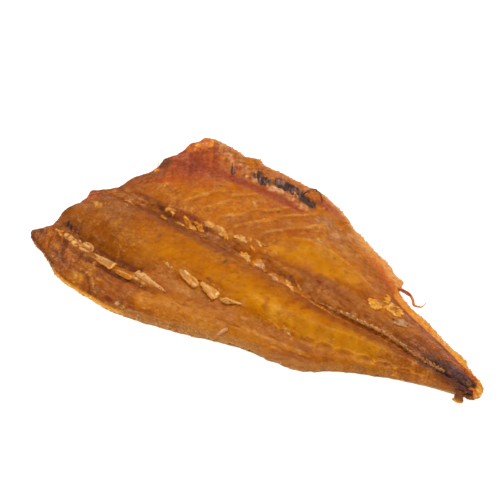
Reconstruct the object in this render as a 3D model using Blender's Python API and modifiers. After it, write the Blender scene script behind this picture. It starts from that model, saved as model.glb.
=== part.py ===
"""Smoked fish: an oily fish without head or tail fin, split open, laid flat skin side down and smoked dry.

The body is one solid. It is a loft between three lines that run from the head cut to the tail stump:
the edge of the lower flap, the seam where the backbone lay, and the edge of the upper flap. Bones that
stand out of the flesh are solids of their own, each bedded in a pocket with a small gap round it.

The script works in millimetres and turns them into metres as each mesh is made. +X runs from the head
cut to the tail, +Y over the upper flap, +Z up, and Z = 0 is the board the fish lies on.
"""

import bpy
import bmesh
import math
import numpy as np
from mathutils import Vector

MM = 0.001

# The three long lines, as (x, y) in plan. The fish is 240 mm long and 133 mm across the open flaps.
LOWER_EDGE = [
    (-119.8, -46.2), (-118.8, -48.4), (-114, -51.8), (-105, -55.1), (-96, -58.8), (-89, -63), (-80, -64.8),
    (-66, -65.4), (-56, -66.1), (-44, -64.6), (-30, -61.4), (-16, -57.7), (0, -52.2), (14, -48.2),
    (30, -46.9), (41, -45), (50, -40.6), (54, -36.9), (66, -29.9), (80, -23.4), (96, -17.3), (110, -12.8),
]
SEAM = [
    (-108.6, -3.5), (-69, -1.5), (-44, -2), (-20, -3.2), (0, -5), (16, -6.8), (40, -9), (62, -8.2),
    (80, -8.6), (96, -9.4), (106, -9.8), (115.8, -9.4),
]
UPPER_EDGE = [
    (-90.6, 63.6), (-84, 65.6), (-72, 66.3), (-65, 64.8), (-57, 66.8), (-48, 63.6), (-30, 63.6),
    (-16, 64.4), (-6, 61.2), (6, 55.4), (16, 49.5), (30, 44), (42, 39.6), (50, 34.2), (54.6, 32.8),
    (55.8, 26), (66, 19.5), (80, 14.6), (92, 9.7), (102, 7), (109, 1.7), (114, -1.2), (117.6, -3),
    (119.6, -5),
]
# The flesh inside follows a calmer run of each edge, and meets the true edge only near the rim.
LOWER_FLOW = [
    (-119.8, -46.2), (-92, -60), (-60, -66), (-20, -59), (30, -46), (66, -30.4), (96, -17.4), (110, -12.8),
]
UPPER_FLOW = [(-90.6, 63.6), (-50, 65.5), (-12, 61), (30, 43), (60, 25.6), (96, 8.6), (119.6, -5)]
RAGGED_FROM = 6  # power by which the true edge fades out towards the seam
HEAD_FADE, TAIL_FADE = 8, 12  # powers by which the two short lines fade out along the fish
# The two short lines across the fish, as (y, x): the ragged head cut and the lobed tail stump.
HEAD_CUT = [
    (-46.2, -119.8), (-43, -116), (-39.4, -114), (-37.4, -112.6), (-27, -115), (-19, -110.4),
    (-15, -110), (-8, -112.3), (-3.5, -108.8), (2, -101.8), (10, -100.6), (20, -94.6), (25, -94.2),
    (33, -96.6), (42, -93.8), (54, -94.2), (58, -91.2), (63.6, -90.6),
]
TAIL_END = [(-12.8, 110), (-12, 112.6), (-11, 116.2), (-10, 118.2), (-8.4, 120), (-5, 119.6)]

# Heights of the flesh above the board at stations along the fish, one row for each line of the form.
STATIONS = (-115, -80, -40, 0, 40, 80, 105, 118)
SEAM_FLOOR = (6.5, 7.5, 8, 8, 7, 6, 5, 3.5)
LOWER_CREST = (8, 12.5, 14, 15, 14.5, 11, 8, 5)
LOWER_VALLEY = (5.5, 6.5, 9.5, 11, 10, 8, 6, 4.5)
LOWER_SHOULDER = (4.5, 7.5, 9, 9, 8, 7, 5.5, 4)
LOWER_RIM = (3, 4, 5, 5, 4.5, 4, 3.5, 3)
UPPER_CREST = (7, 10.5, 12, 13, 13, 9.5, 7, 4.5)
UPPER_SLOPE = (6, 8, 9, 9.5, 9.5, 7.5, 6, 4)
UPPER_FLAP = (4, 4.5, 4.5, 5.5, 6, 5, 4.5, 3.5)
UPPER_RIM = (2.5, 2, 2, 2, 1.8, 1.8, 2, 2.5)
# Where those lines lie between the seam (0) and the edge (1) of their flap.
LOWER_PLACES = (0, 0.12, 0.4, 0.64, 0.84, 1)
UPPER_PLACES = (0, 0.1, 0.32, 0.6, 0.8, 1)
BESIDE_SEAM = 0.62  # how far the flesh has risen to its crest at the second place

NOSE = 2.2  # how far in from the edge the rim is rounded
CUT_NOSE = 1.6  # the same at the head cut and the tail end
LIFT_FROM = 0.7  # the flap leaves the board from here outwards
LOWER_LIFT, UPPER_LIFT, TIP_LIFT = 0.8, 2.2, 1.6
TIP_LENGTH = 26.0  # the thin point of the lower flap at the head cut
EDGE_WAVE, WAVE_LENGTH = 0.7, 52.0

LENGTHWISE, ACROSS = 132, 26  # cells along the fish, and from the seam to each edge
CROWDING = 0.8  # share by which the cells are narrower at the edges and ends
BODY_KEEP = 0.23  # share of the loft's triangles that the body keeps

# What hangs off the outline, joined to the body: path in plan, height and radius at root and at tip.
THREAD = (
    [(50, 26.2), (55.6, 27.4), (60.4, 27.6), (63.6, 26), (66.4, 23.2), (69.4, 24), (70, 28.6)],
    (3.4, 2),
    (1.15, 0.45),
)
PRONG = ([(108, -8), (110.4, -11.4), (111.8, -14.4), (112.3, -17.6)], (3.6, 2.1), (2.9, 1.6))

WELD = 1e-5  # metres: points closer than this are one point
GAP = 0.3  # left between each bone and the pocket it is bedded in
BONE_FLATNESS = 0.8  # height of a bone's section for each unit of its width
# Turned profiles of the bones: radius, as a share of half the bone's width, at even steps along it.
KNOB = (0.0, 0.72, 0.96, 1.0, 0.94, 0.66, 0.0)
WAIST = (0.0, 0.7, 0.86, 0.74, 0.66, 0.7, 0.86, 1.0, 0.9, 0.0)
ROD = (0.0, 0.62, 0.86, 1.0, 0.96, 0.84, 0.6, 0.0)
SPIKE = (0.0, 0.78, 1.0, 0.92, 0.72, 0.55, 0.38, 0.2, 0.0)
CHIP = (0.0, 0.85, 1.0, 0.9, 0.8, 0.0)
# name: profile, blunt end (x, y), far end (x, y), width, height of its axis above the flesh
BONES = {
    "neck_bone_1": (KNOB, (-103, -41), (-96.4, -42.4), 4.2, -0.2),
    "neck_bone_2": (KNOB, (-96, -42.6), (-90.8, -43.4), 5.2, 0.2),
    "neck_bone_3": (KNOB, (-90.4, -43.2), (-82.6, -42.6), 6.4, 0.4),
    "neck_bone_4": (WAIST, (-81.6, -44), (-66, -45.2), 5.4, 0.2),
    "neck_bone_5": (ROD, (-65, -45.8), (-54.6, -45.6), 3.8, -0.3),
    "neck_bone_6": (SPIKE, (-55.6, -41.6), (-34, -45.6), 5.0, 0.1),
    "rib_stub_1": (ROD, (-48, -29.4), (-40, -31.4), 3.4, -0.7),
    "rib_stub_2": (ROD, (-38, -30.6), (-24.6, -34.6), 5.4, -0.9),
    "rib_stub_3": (ROD, (-22.6, -31.6), (-11.4, -36), 6.0, -0.9),
    "rib_stub_4": (ROD, (-9.6, -35.4), (1.4, -32.2), 4.4, -0.7),
    "bone_chip": (CHIP, (4.6, -46.6), (1.3, -50.9), 1.8, 0.2),
}
BONE_TURN = 12  # faces round a bone


def through(points, at):
    """A smooth line through points: cubic pieces that never swing past a point."""
    px, py = np.array(points, float).T
    step = np.diff(px)
    chord = np.diff(py) / step
    same_way = chord[:-1] * chord[1:] > 0
    total = np.where(same_way, chord[:-1] + chord[1:], 1)
    inner = np.where(same_way, 2 * chord[:-1] * chord[1:] / total, 0)
    slope = np.concatenate([chord[:1], inner, chord[-1:]])
    i = np.clip(np.searchsorted(px, at, side="right") - 1, 0, len(px) - 2)
    t = np.clip((at - px[i]) / step[i], 0, 1)
    left = py[i] * (1 + 2 * t) + slope[i] * step[i] * t
    right = py[i + 1] * (3 - 2 * t) + slope[i + 1] * step[i] * (t - 1)
    return left * (1 - t) ** 2 + right * t**2


def smoothstep(low, high, value):
    t = np.clip((value - low) / (high - low), 0, 1)
    return t * t * (3 - 2 * t)


def between(start, end, share):
    return start + (end - start) * share


def lines_at(flap, along, edge="edge"):
    """The seam's and the flap edge's points at a share of the way from head cut to tail end."""
    seam_x = between(SEAM[0][0], SEAM[-1][0], along)
    edge_x = between(flap["edge"][0][0], flap["edge"][-1][0], along)
    return (seam_x, through(SEAM, seam_x)), (edge_x, through(flap[edge], edge_x))


def plan(flap, along, out):
    """Plan position of a point of one flap: out runs from the seam (0) to the flap's edge (1).

    Straight lines join the seam to the flow of the edge, and bend to the true edge near the rim. The
    head cut and the tail end bend the first and the last of these lines to their own shapes, and that
    bend dies away towards the middle of the fish.
    """
    seam, edge = lines_at(flap, along)
    flow = lines_at(flap, along, "flow")[1]
    x = between(seam[0], flow[0], out)
    y = between(seam[1], flow[1], out) + (edge[1] - flow[1]) * out**RAGGED_FROM
    for end, line, fade in ((0, HEAD_CUT, (1 - along) ** HEAD_FADE), (-1, TAIL_END, along**TAIL_FADE)):
        straight_x = between(SEAM[end][0], flap["edge"][end][0], out)
        straight_y = between(SEAM[end][1], flap["edge"][end][1], out)
        x = x + (through(line, straight_y) - straight_x) * fade
    return x, y


def thickness(flap, x, out):
    """Thickness of one flap, blended from row to row of its form between the seam and the edge."""
    rows = [through(list(zip(STATIONS, row)), x) for row in flap["rows"]]
    rows.insert(1, between(rows[0], rows[1], BESIDE_SEAM))
    places = flap["places"]
    thick = rows[-1]
    for i in reversed(range(len(places) - 1)):
        blend = between(rows[i], rows[i + 1], smoothstep(places[i], places[i + 1], out))
        thick = np.where(out < places[i + 1], blend, thick)
    return thick


def lift(flap, x, y, out):
    """How far the underside has curled up off the board, towards the edges and at the lower tip."""
    wave = flap["wave"] * np.sin(2 * math.pi * x / WAVE_LENGTH)
    from_tip = np.hypot(x - LOWER_EDGE[0][0], y - LOWER_EDGE[0][1])
    tip = TIP_LIFT * (1 - smoothstep(0, TIP_LENGTH, from_tip))
    return (flap["lift"] + wave) * smoothstep(LIFT_FROM, 1, out) + tip


def rounding(flap, along, out):
    """1 over the body, falling to 0 at its outline along a quarter ellipse, so that the rims are round."""
    seam, edge = lines_at(flap, along)
    width = np.hypot(edge[0] - seam[0], edge[1] - seam[1])
    length = SEAM[-1][0] - SEAM[0][0]
    rim = np.clip(1 - (1 - out) * width / NOSE, 0, 1)
    cut = np.clip(1 - np.minimum(along, 1 - along) * length / CUT_NOSE, 0, 1)
    return np.sqrt((1 - rim**2) * (1 - cut**2))


def flap_grid(flap, along, out):
    """Arrays x, y, underside and top of one flap, in millimetres."""
    x, y = plan(flap, along, out)
    under = lift(flap, x, y, out)
    thick = thickness(flap, x, out)
    nose = rounding(flap, along, out)
    return np.array([x, y, under + thick * (1 - nose) / 2, under + thick * (1 + nose) / 2])


LOWER = {
    "edge": LOWER_EDGE,
    "flow": LOWER_FLOW,
    "places": LOWER_PLACES,
    "rows": (SEAM_FLOOR, LOWER_CREST, LOWER_VALLEY, LOWER_SHOULDER, LOWER_RIM),
    "lift": LOWER_LIFT,
    "wave": 0,
}
UPPER = {
    "edge": UPPER_EDGE,
    "flow": UPPER_FLOW,
    "places": UPPER_PLACES,
    "rows": (SEAM_FLOOR, UPPER_CREST, UPPER_SLOPE, UPPER_FLAP, UPPER_RIM),
    "lift": UPPER_LIFT,
    "wave": EDGE_WAVE,
}


def body_grid():
    """The whole body's x, y, underside and top, from the lower edge over the seam to the upper edge.

    The lines along the fish crowd towards the edges, and the lines across it towards the two ends,
    so that the rounded rims are smooth.
    """
    even = np.linspace(0, 1, LENGTHWISE + 1)[:, None]
    along = even - CROWDING * np.sin(2 * math.pi * even) / (2 * math.pi)
    even = np.linspace(0, 1, ACROSS + 1)[None, :]
    out = even + CROWDING * np.sin(math.pi * even) / math.pi
    along, out = np.broadcast_arrays(along, out)
    lower = flap_grid(LOWER, along, out)
    upper = flap_grid(UPPER, along, out)
    return np.concatenate([lower[:, :, :0:-1], upper], axis=2)


def material(name, colour, roughness):
    made = bpy.data.materials.new(name)
    made.use_nodes = True
    shader = made.node_tree.nodes["Principled BSDF"]
    shader.inputs["Base Color"].default_value = (*colour, 1)
    shader.inputs["Roughness"].default_value = roughness
    shader.inputs["Metallic"].default_value = 0
    made.diffuse_color = (*colour, 1)
    return made


def new_object(name, mesh, collection):
    made = bpy.data.objects.new(name, mesh)
    collection.objects.link(made)
    return made


def hide_cutter(cutter):
    cutter.hide_render = True
    cutter.display_type = "WIRE"


def combine(target, operation, other):
    boolean = target.modifiers.new(f"{operation.lower()} {other.name}", "BOOLEAN")
    boolean.operation = operation
    boolean.solver = "EXACT"
    boolean.object = other


def make_body(grid, collection):
    """Loft of the body: a top and an underside of quads that share the points of the outline."""
    x, y, under, top = grid
    rows, columns = x.shape
    top_index = np.arange(rows * columns).reshape(rows, columns)
    under_index = top_index.copy()
    inner = (rows - 2) * (columns - 2)
    under_index[1:-1, 1:-1] = rows * columns + np.arange(inner).reshape(rows - 2, columns - 2)
    inside = np.s_[1:-1, 1:-1]
    points = np.concatenate([
        np.stack([x, y, top], axis=-1).reshape(-1, 3),
        np.stack([x[inside], y[inside], under[inside]], axis=-1).reshape(-1, 3),
    ])

    def quads(index):
        corners = (index[:-1, :-1], index[1:, :-1], index[1:, 1:], index[:-1, 1:])
        return np.stack(corners, axis=-1).reshape(-1, 4)

    faces = np.concatenate([quads(top_index), quads(under_index)[:, ::-1]])
    mesh = bpy.data.meshes.new("fish")
    mesh.from_pydata((points * MM).tolist(), [], faces.tolist())
    mesh.shade_smooth()
    body = new_object("fish", mesh, collection)
    body.data.materials.append(material("smoked flesh", (0.42, 0.17, 0.035), 0.45))
    fewer = body.modifiers.new("fewer faces", "DECIMATE")
    fewer.ratio = BODY_KEEP
    return body


def make_strand(name, strand, collection):
    """A tapering tube of flesh along its path, made a mesh so that it can be joined to the body."""
    path, heights, radii = strand
    curve = bpy.data.curves.new(name, "CURVE")
    curve.dimensions = "3D"
    curve.bevel_depth = MM
    curve.bevel_resolution = 1
    curve.resolution_u = 3
    curve.use_fill_caps = True
    spline = curve.splines.new("NURBS")
    spline.points.add(len(path) - 1)
    for i, (x, y) in enumerate(path):
        share = i / (len(path) - 1)
        spline.points[i].co = (x * MM, y * MM, between(*heights, share) * MM, 1)
        spline.points[i].radius = between(*radii, share)
    spline.order_u = 3
    spline.use_endpoint_u = True
    guide = new_object(name + " guide", curve, collection)
    bpy.context.view_layer.update()
    evaluated = guide.evaluated_get(bpy.context.evaluated_depsgraph_get())
    mesh = bpy.data.meshes.new_from_object(evaluated)
    shape = bmesh.new()
    shape.from_mesh(mesh)
    bmesh.ops.remove_doubles(shape, verts=shape.verts, dist=WELD)
    bmesh.ops.recalc_face_normals(shape, faces=shape.faces)
    shape.to_mesh(mesh)
    shape.free()
    tube = new_object(name, mesh, collection)
    tube.matrix_world = guide.matrix_world
    bpy.data.objects.remove(guide)
    hide_cutter(tube)
    return tube


def make_bone(name, grid, spec, grow, collection):
    """A turned bone lying along the flesh, or with grow the larger shape that cuts its pocket."""
    profile, start, end, width, above = spec
    x, y, _, top = grid

    def on_flesh(place):
        nearest = np.argmin(np.hypot(x - place[0], y - place[1]))
        return Vector((place[0], place[1], top.flat[nearest] + above)) * MM

    head, tail = on_flesh(start), on_flesh(end)
    run = tail - head
    half = run.length / 2 + grow * MM
    shape = bmesh.new()
    steps = len(profile) - 1
    ring = [
        shape.verts.new((
            (share * width / 2 + (grow if share else 0)) * MM,
            0,
            half - 2 * half * i / steps,
        ))
        for i, share in enumerate(profile)
    ]
    for upper, lower in zip(ring, ring[1:]):
        shape.edges.new((upper, lower))
    mesh = bpy.data.meshes.new(name)
    shape.to_mesh(mesh)
    shape.free()
    bone = new_object(name, mesh, collection)
    bone.location = (head + tail) / 2
    bone.rotation_mode = "QUATERNION"
    bone.rotation_quaternion = (-run).to_track_quat("Z", "Y")
    flat = (BONE_FLATNESS * width / 2 + grow) / (width / 2 + grow)
    bone.scale = (1, flat, 1)
    turn = bone.modifiers.new("turned", "SCREW")
    turn.axis = "Z"
    turn.steps = turn.render_steps = BONE_TURN
    turn.use_merge_vertices = True
    turn.merge_threshold = WELD
    return bone


def main():
    for existing in list(bpy.data.objects):
        bpy.data.objects.remove(existing)
    scene = bpy.context.scene.collection
    parts = bpy.data.collections.new("smoked fish")
    cutters = bpy.data.collections.new("cutters")
    scene.children.link(parts)
    scene.children.link(cutters)

    grid = body_grid()
    body = make_body(grid, parts)
    combine(body, "UNION", make_strand("thread", THREAD, cutters))
    combine(body, "UNION", make_strand("prong", PRONG, cutters))
    bone_material = material("bone", (0.62, 0.36, 0.12), 0.5)
    for name, spec in BONES.items():
        pocket = make_bone(name + " pocket", grid, spec, GAP, cutters)
        hide_cutter(pocket)
        combine(body, "DIFFERENCE", pocket)
        bone = make_bone(name, grid, spec, 0, parts)
        bone.data.materials.append(bone_material)


main()
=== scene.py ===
"""Looks of the smoked fish: an oily fish without head or tail fin, split open and lying flat, skin side down.

Everything is worked out in millimetres of a fish 240 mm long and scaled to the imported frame, with +X from
the head cut to the tail, +Y over the upper flap and +Z up. Colours are given as they look in plain daylight.
"""

import math

import bpy
import numpy as np
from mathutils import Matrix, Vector


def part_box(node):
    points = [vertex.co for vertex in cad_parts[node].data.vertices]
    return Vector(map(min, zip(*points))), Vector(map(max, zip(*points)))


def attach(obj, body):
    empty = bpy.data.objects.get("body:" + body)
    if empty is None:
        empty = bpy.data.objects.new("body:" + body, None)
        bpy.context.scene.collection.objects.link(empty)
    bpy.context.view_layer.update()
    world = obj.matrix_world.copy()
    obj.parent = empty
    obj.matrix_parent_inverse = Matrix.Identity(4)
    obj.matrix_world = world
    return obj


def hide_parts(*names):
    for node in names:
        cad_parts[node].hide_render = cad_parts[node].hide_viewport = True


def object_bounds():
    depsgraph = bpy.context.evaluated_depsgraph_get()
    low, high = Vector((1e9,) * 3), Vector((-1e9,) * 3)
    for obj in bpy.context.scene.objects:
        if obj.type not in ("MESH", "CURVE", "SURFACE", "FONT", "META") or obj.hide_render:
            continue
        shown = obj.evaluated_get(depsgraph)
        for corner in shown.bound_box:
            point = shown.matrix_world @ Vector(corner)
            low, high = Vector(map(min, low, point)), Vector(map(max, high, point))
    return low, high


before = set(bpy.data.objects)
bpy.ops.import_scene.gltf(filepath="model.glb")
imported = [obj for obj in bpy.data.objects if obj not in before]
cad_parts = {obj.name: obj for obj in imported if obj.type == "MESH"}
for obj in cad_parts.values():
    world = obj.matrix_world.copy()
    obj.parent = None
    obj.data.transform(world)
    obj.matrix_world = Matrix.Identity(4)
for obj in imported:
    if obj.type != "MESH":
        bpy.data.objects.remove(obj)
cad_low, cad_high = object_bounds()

# ---------------------------------------------------------------------------------------------------------
# The split body's form. The real fish is one piece of flesh and skin, cut along the belly, opened like a book
# and dried flat. It is lofted between three long lines: the edge of the lower flap, the seam where the
# backbone lay, and the edge of the upper flap. The solids follow the same lines.

FISH_LENGTH = 239.8
MM = (cad_high.x - cad_low.x) / FISH_LENGTH

LOWER_EDGE = [
    (-119.8, -46.2), (-118.8, -48.4), (-114, -51.8), (-105, -55.1), (-96, -58.8), (-89, -63), (-80, -64.8),
    (-66, -65.4), (-56, -66.1), (-44, -64.6), (-30, -61.4), (-16, -57.7), (0, -52.2), (14, -48.2),
    (30, -46.9), (41, -45), (50, -40.6), (54, -36.9), (66, -29.9), (80, -23.4), (96, -17.3), (110, -12.8),
]
SEAM = [
    (-108.6, -3.5), (-69, -1.5), (-44, -2), (-20, -3.2), (0, -5), (16, -6.8), (40, -9), (62, -8.2),
    (80, -8.6), (96, -9.4), (106, -9.8), (115.8, -9.4),
]
UPPER_EDGE = [
    (-90.6, 63.6), (-84, 65.6), (-72, 66.3), (-65, 64.8), (-57, 66.8), (-48, 63.6), (-30, 63.6),
    (-16, 64.4), (-6, 61.2), (6, 55.4), (16, 49.5), (30, 44), (42, 39.6), (50, 34.2), (54.6, 32.8),
    (55.8, 26), (66, 19.9), (80, 15.5), (92, 10.5), (102, 7), (109, 1.7), (114, -1.2), (117.6, -3),
    (119.6, -5),
]
LOWER_FLOW = [
    (-119.8, -46.2), (-92, -60), (-60, -66), (-20, -59), (30, -46), (66, -30.4), (96, -17.4), (110, -12.8),
]
UPPER_FLOW = [(-90.6, 63.6), (-50, 65.5), (-12, 61), (30, 43), (60, 25.6), (96, 8.6), (119.6, -5)]
HEAD_CUT = [
    (-46.2, -119.8), (-43, -116), (-39.4, -114), (-37.4, -112.6), (-27, -115), (-19, -110.4),
    (-15, -110), (-8, -112.3), (-3.5, -108.8), (2, -101.8), (10, -100.6), (20, -94.6), (25, -94.2),
    (33, -96.6), (42, -93.8), (54, -94.2), (58, -91.2), (63.6, -90.6),
]
TAIL_END = [(-12.8, 110), (-12, 112.6), (-11, 116.2), (-10, 118.2), (-8.4, 120), (-5, 119.6)]
RAGGED_FROM, HEAD_FADE, TAIL_FADE = 6, 8, 12  # powers by which the true edges fade out inwards
SHARP_CUT = 0.6  # how far the cut ends keep the corners of their lines

# Heights of the flesh at stations along the fish, one row for each line of the form.
STATIONS = (-115, -80, -40, 0, 40, 80, 105, 118)
SEAM_FLOOR = (6.5, 7.5, 8, 8, 7, 6, 5, 3.5)
LOWER_ROWS = (
    (8, 12.5, 14, 15, 14.5, 11, 8, 5),
    (5.5, 6.5, 9.5, 11, 10, 8, 6, 4.5),
    (4.5, 7.5, 9, 9, 8, 7, 5.5, 4),
    (3, 4, 5, 5, 4.5, 4, 3.5, 3),
)
UPPER_ROWS = (
    (7, 10.5, 12, 13, 13, 9.5, 7, 4.5),
    (6, 8, 9, 9.5, 9.5, 7.5, 6, 4),
    (4, 4.5, 4.5, 5.5, 6, 5, 4.5, 3.5),
    (2.5, 2, 2, 2, 1.8, 1.8, 2, 2.5),
)
BESIDE_SEAM = 0.62
NOSE, CUT_NOSE = 2.2, 1.6  # how far in from the rims and the cuts the flesh is rounded
LIFT_FROM, TIP_LIFT, TIP_LENGTH, WAVE_LENGTH = 0.7, 1.6, 26.0, 52.0


def calm_slope(before, after):
    """Slope where two chords meet: their harmonic mean, or 0 where one rises and the other falls."""
    same_way = before * after > 0
    return np.where(same_way, 2 * before * after / np.where(same_way, before + after, 1), 0)


def cubic(start, end, start_slope, end_slope, step, t):
    """The cubic with those values and slopes at the two ends of a step, at share t of the step."""
    left = start * (1 + 2 * t) + start_slope * step * t
    right = end * (3 - 2 * t) + end_slope * step * (t - 1)
    return left * (1 - t) ** 2 + right * t**2


def through(points, at):
    """A smooth line through points: cubic pieces whose slopes never swing past a point."""
    px, py = np.array(points, float).T
    step = np.diff(px)
    chord = np.diff(py) / step
    slope = np.concatenate([chord[:1], calm_slope(chord[:-1], chord[1:]), chord[-1:]])
    i = np.clip(np.searchsorted(px, at, side="right") - 1, 0, len(px) - 2)
    t = np.clip((at - px[i]) / step[i], 0, 1)
    return cubic(py[i], py[i + 1], slope[i], slope[i + 1], step[i], t)


def smoothstep(low, high, value):
    """0 up to low and 1 from high on, with the cubic 3t^2 - 2t^3 between them."""
    t = np.clip((value - low) / (high - low), 0, 1)
    return t * t * (3 - 2 * t)


def between(start, end, share):
    """The value that lies at a share of the way from start to end."""
    return start + (end - start) * share


LATTICE, LATTICE_START = 97, 1000.0


def mottle(x, y, cell, seed):
    """Smooth random field from -1 to 1: random values on a square lattice, joined by smoothsteps."""
    table = np.random.default_rng(seed).uniform(-1, 1, (LATTICE, LATTICE))
    u, v = x / cell + LATTICE_START, y / cell + LATTICE_START
    i, j = np.floor(u).astype(int), np.floor(v).astype(int)
    s, t = smoothstep(0, 1, u - i), smoothstep(0, 1, v - j)
    i, j, next_i, next_j = (k % LATTICE for k in (i, j, i + 1, j + 1))
    near_row = between(table[i, j], table[next_i, j], s)
    far_row = between(table[i, next_j], table[next_i, next_j], s)
    return between(near_row, far_row, t)


def rough(x, y, cell, seed):
    """Three layers of mottle, each half as large and half as strong as the one before; together 1.75."""
    layers = [mottle(x, y, cell / 2**k, seed + k) / 2**k for k in range(3)]
    return sum(layers) / 1.75


LOWER = {
    "edge": LOWER_EDGE, "flow": LOWER_FLOW, "places": (0, 0.12, 0.4, 0.64, 0.84, 1),
    "rows": (SEAM_FLOOR, *LOWER_ROWS), "lift": 0.8, "wave": 0, "ragged": 0.46, "seed": 11,
}
UPPER = {
    "edge": UPPER_EDGE, "flow": UPPER_FLOW, "places": (0, 0.1, 0.32, 0.6, 0.8, 1),
    "rows": (SEAM_FLOOR, *UPPER_ROWS), "lift": 2.2, "wave": 0.7, "ragged": 0.5, "seed": 23,
}


def lines_at(flap, along, edge="edge"):
    """The seam's and the flap edge's points at a share of the way from head cut to tail end."""
    seam_x = between(SEAM[0][0], SEAM[-1][0], along)
    edge_x = between(flap["edge"][0][0], flap["edge"][-1][0], along)
    return (seam_x, through(SEAM, seam_x)), (edge_x, through(flap[edge], edge_x))


def plan(flap, along, out):
    """Plan position: straight lines from the seam (out 0) to the edge's calm flow (out 1), bent to the true
    ragged edge near the rim, and to the head cut and the tail end near those."""
    seam, edge = lines_at(flap, along)
    flow = lines_at(flap, along, "flow")[1]
    x = between(seam[0], flow[0], out)
    torn = flap["ragged"] * (rough(edge[0], edge[0] * 0, 2.6, flap["seed"])
                             + 0.7 * mottle(edge[0], edge[0] * 0, 1.1, flap["seed"] + 5))
    y = between(seam[1], flow[1], out) + (edge[1] + torn - flow[1]) * out**RAGGED_FROM
    for end, line, fade in ((0, HEAD_CUT, (1 - along) ** HEAD_FADE), (-1, TAIL_END, along**TAIL_FADE)):
        straight_x = between(SEAM[end][0], flap["edge"][end][0], out)
        straight_y = between(SEAM[end][1], flap["edge"][end][1], out)
        torn = 0.5 * rough(straight_y, straight_y * 0, 2.4, 31 + end)
        cut = between(through(line, straight_y), np.interp(straight_y, *np.array(line).T), SHARP_CUT)
        x = x + (cut + torn - straight_x) * fade
    return x, y


def thickness(flap, x, out):
    """Thickness of one flap: cubic pieces through the rows of its form between the seam and the edge. Their
    slopes never swing past a row, and the seam is a rounded groove."""
    rows = [through(list(zip(STATIONS, row)), x) for row in flap["rows"]]
    rows.insert(1, between(rows[0], rows[1], BESIDE_SEAM))
    places = flap["places"]
    chord = [(b - a) / (v - u) for a, b, u, v in zip(rows, rows[1:], places, places[1:])]
    slope = [0 * chord[0], *map(calm_slope, chord, chord[1:]), chord[-1]]
    thick = rows[-1]
    for i in reversed(range(len(places) - 1)):
        step = places[i + 1] - places[i]
        t = np.clip((out - places[i]) / step, 0, 1)
        piece = cubic(rows[i], rows[i + 1], slope[i], slope[i + 1], step, t)
        thick = np.where(out < places[i + 1], piece, thick)
    return thick


def lift(flap, x, y, out):
    """How far the underside has curled up off the board, towards the edges and at the lower tip."""
    wave = flap["wave"] * np.sin(2 * math.pi * x / WAVE_LENGTH)
    from_tip = np.hypot(x - LOWER_EDGE[0][0], y - LOWER_EDGE[0][1])
    tip = TIP_LIFT * (1 - smoothstep(0, TIP_LENGTH, from_tip))
    return (flap["lift"] + wave) * smoothstep(LIFT_FROM, 1, out) + tip


def rim_distance(flap, along, out):
    """Millimetres from a place to the flap's edge, and to the nearer of the two cut ends."""
    seam, edge = lines_at(flap, along)
    width = np.hypot(edge[0] - seam[0], edge[1] - seam[1])
    return (1 - out) * width, np.minimum(along, 1 - along) * (SEAM[-1][0] - SEAM[0][0])


def flap_form(flap, along, out):
    """x, y, underside and top of one flap. The rims are rounded along a quarter ellipse."""
    x, y = plan(flap, along, out)
    rim, end = rim_distance(flap, along, out)
    rim = np.clip(1 - rim / NOSE, 0, 1)
    cut = np.clip(1 - end / CUT_NOSE, 0, 1)
    nose = np.sqrt((1 - rim**2) * (1 - cut**2))
    under, thick = lift(flap, x, y, out), thickness(flap, x, out)
    return x, y, under + thick * (1 - nose) / 2, under + thick * (1 + nose) / 2, nose


# ---------------------------------------------------------------------------------------------------------
# The flesh. Brined, dried and smoked over wood, it has gone glassy and amber: golden where the muscle is
# thick, brown along the seam and at the cuts, red where the belly was thin, and clear orange at the rims.
# One closed surface carries its colour and its gloss from place to place; the colour also holds painted
# highlights, painted shade and the rims' painted glow.

ALONG_CELLS, ACROSS_CELLS = 420, 106  # cells of the flesh along the fish, and from the seam to each edge
CROWDING = 0.55

GOLD, BRIGHT_GOLD, AMBER = (192, 112, 0), (208, 134, 8), (178, 102, 22)
SMOKED = (0.99, 0.95, 0.84)  # what smoke leaves of each tone's red, green and blue
LOWER_SEED, UPPER_SEED = 400, 500  # of each flap's mottling
LOWER_STRINGS, UPPER_STRINGS = 250, 260  # seeds of the sinews along the seam


def ramp(low, high, value):
    """0 below low and 1 above high; or the other way round where low is the larger."""
    return smoothstep(low, high, value) if low < high else 1 - smoothstep(high, low, value)


def turned(u, v, degrees):
    """A place after a turn by that many degrees."""
    c, s = math.cos(math.radians(degrees)), math.sin(math.radians(degrees))
    return u * c - v * s, u * s + v * c


def wavering(x, y, by, cell, seed, step=3):
    """A place moved by up to that many millimetres along x and y, by two random fields."""
    return x + by * rough(x, y, cell, seed), y + by * rough(x, y, cell, seed + step)


def near(x, y, points, width, solid=0.0):
    """1 on a line through points, falling to 0 at width to either side of it. The inner share named by
    solid stays at 1."""
    nearest = np.full(np.shape(x), 1e9)
    for (ax, ay), (bx, by) in zip(points, points[1:]):
        run = max((bx - ax) ** 2 + (by - ay) ** 2, 1e-9)
        t = np.clip(((x - ax) * (bx - ax) + (y - ay) * (by - ay)) / run, 0, 1)
        nearest = np.minimum(nearest, np.hypot(x - ax - t * (bx - ax), y - ay - t * (by - ay)))
    return 1 - smoothstep(solid * width, width, nearest)


def patch(x, y, centre, half, turn, uneven, seed):
    """1 within an ellipse with those half lengths, turned by degrees, falling to 0 over an uneven border."""
    along, across = turned(x - centre[0], y - centre[1], -turn)
    reach = np.hypot(along / half[0], across / half[1]) + uneven * rough(x, y, min(half) * 0.9, seed)
    return 1 - smoothstep(0.6, 1.2, reach)


def fibres(x, y, turn, length, width, seed):
    """Random streaks of that length and width, lying at turn degrees to the fish."""
    along, across = turned(x, y, -turn)
    return rough(along * width / length, across, width, seed)


def plain(tone, x):
    """The same tone at every place of x."""
    return np.broadcast_to(np.array(tone, float), (*np.shape(x), 3))


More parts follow.
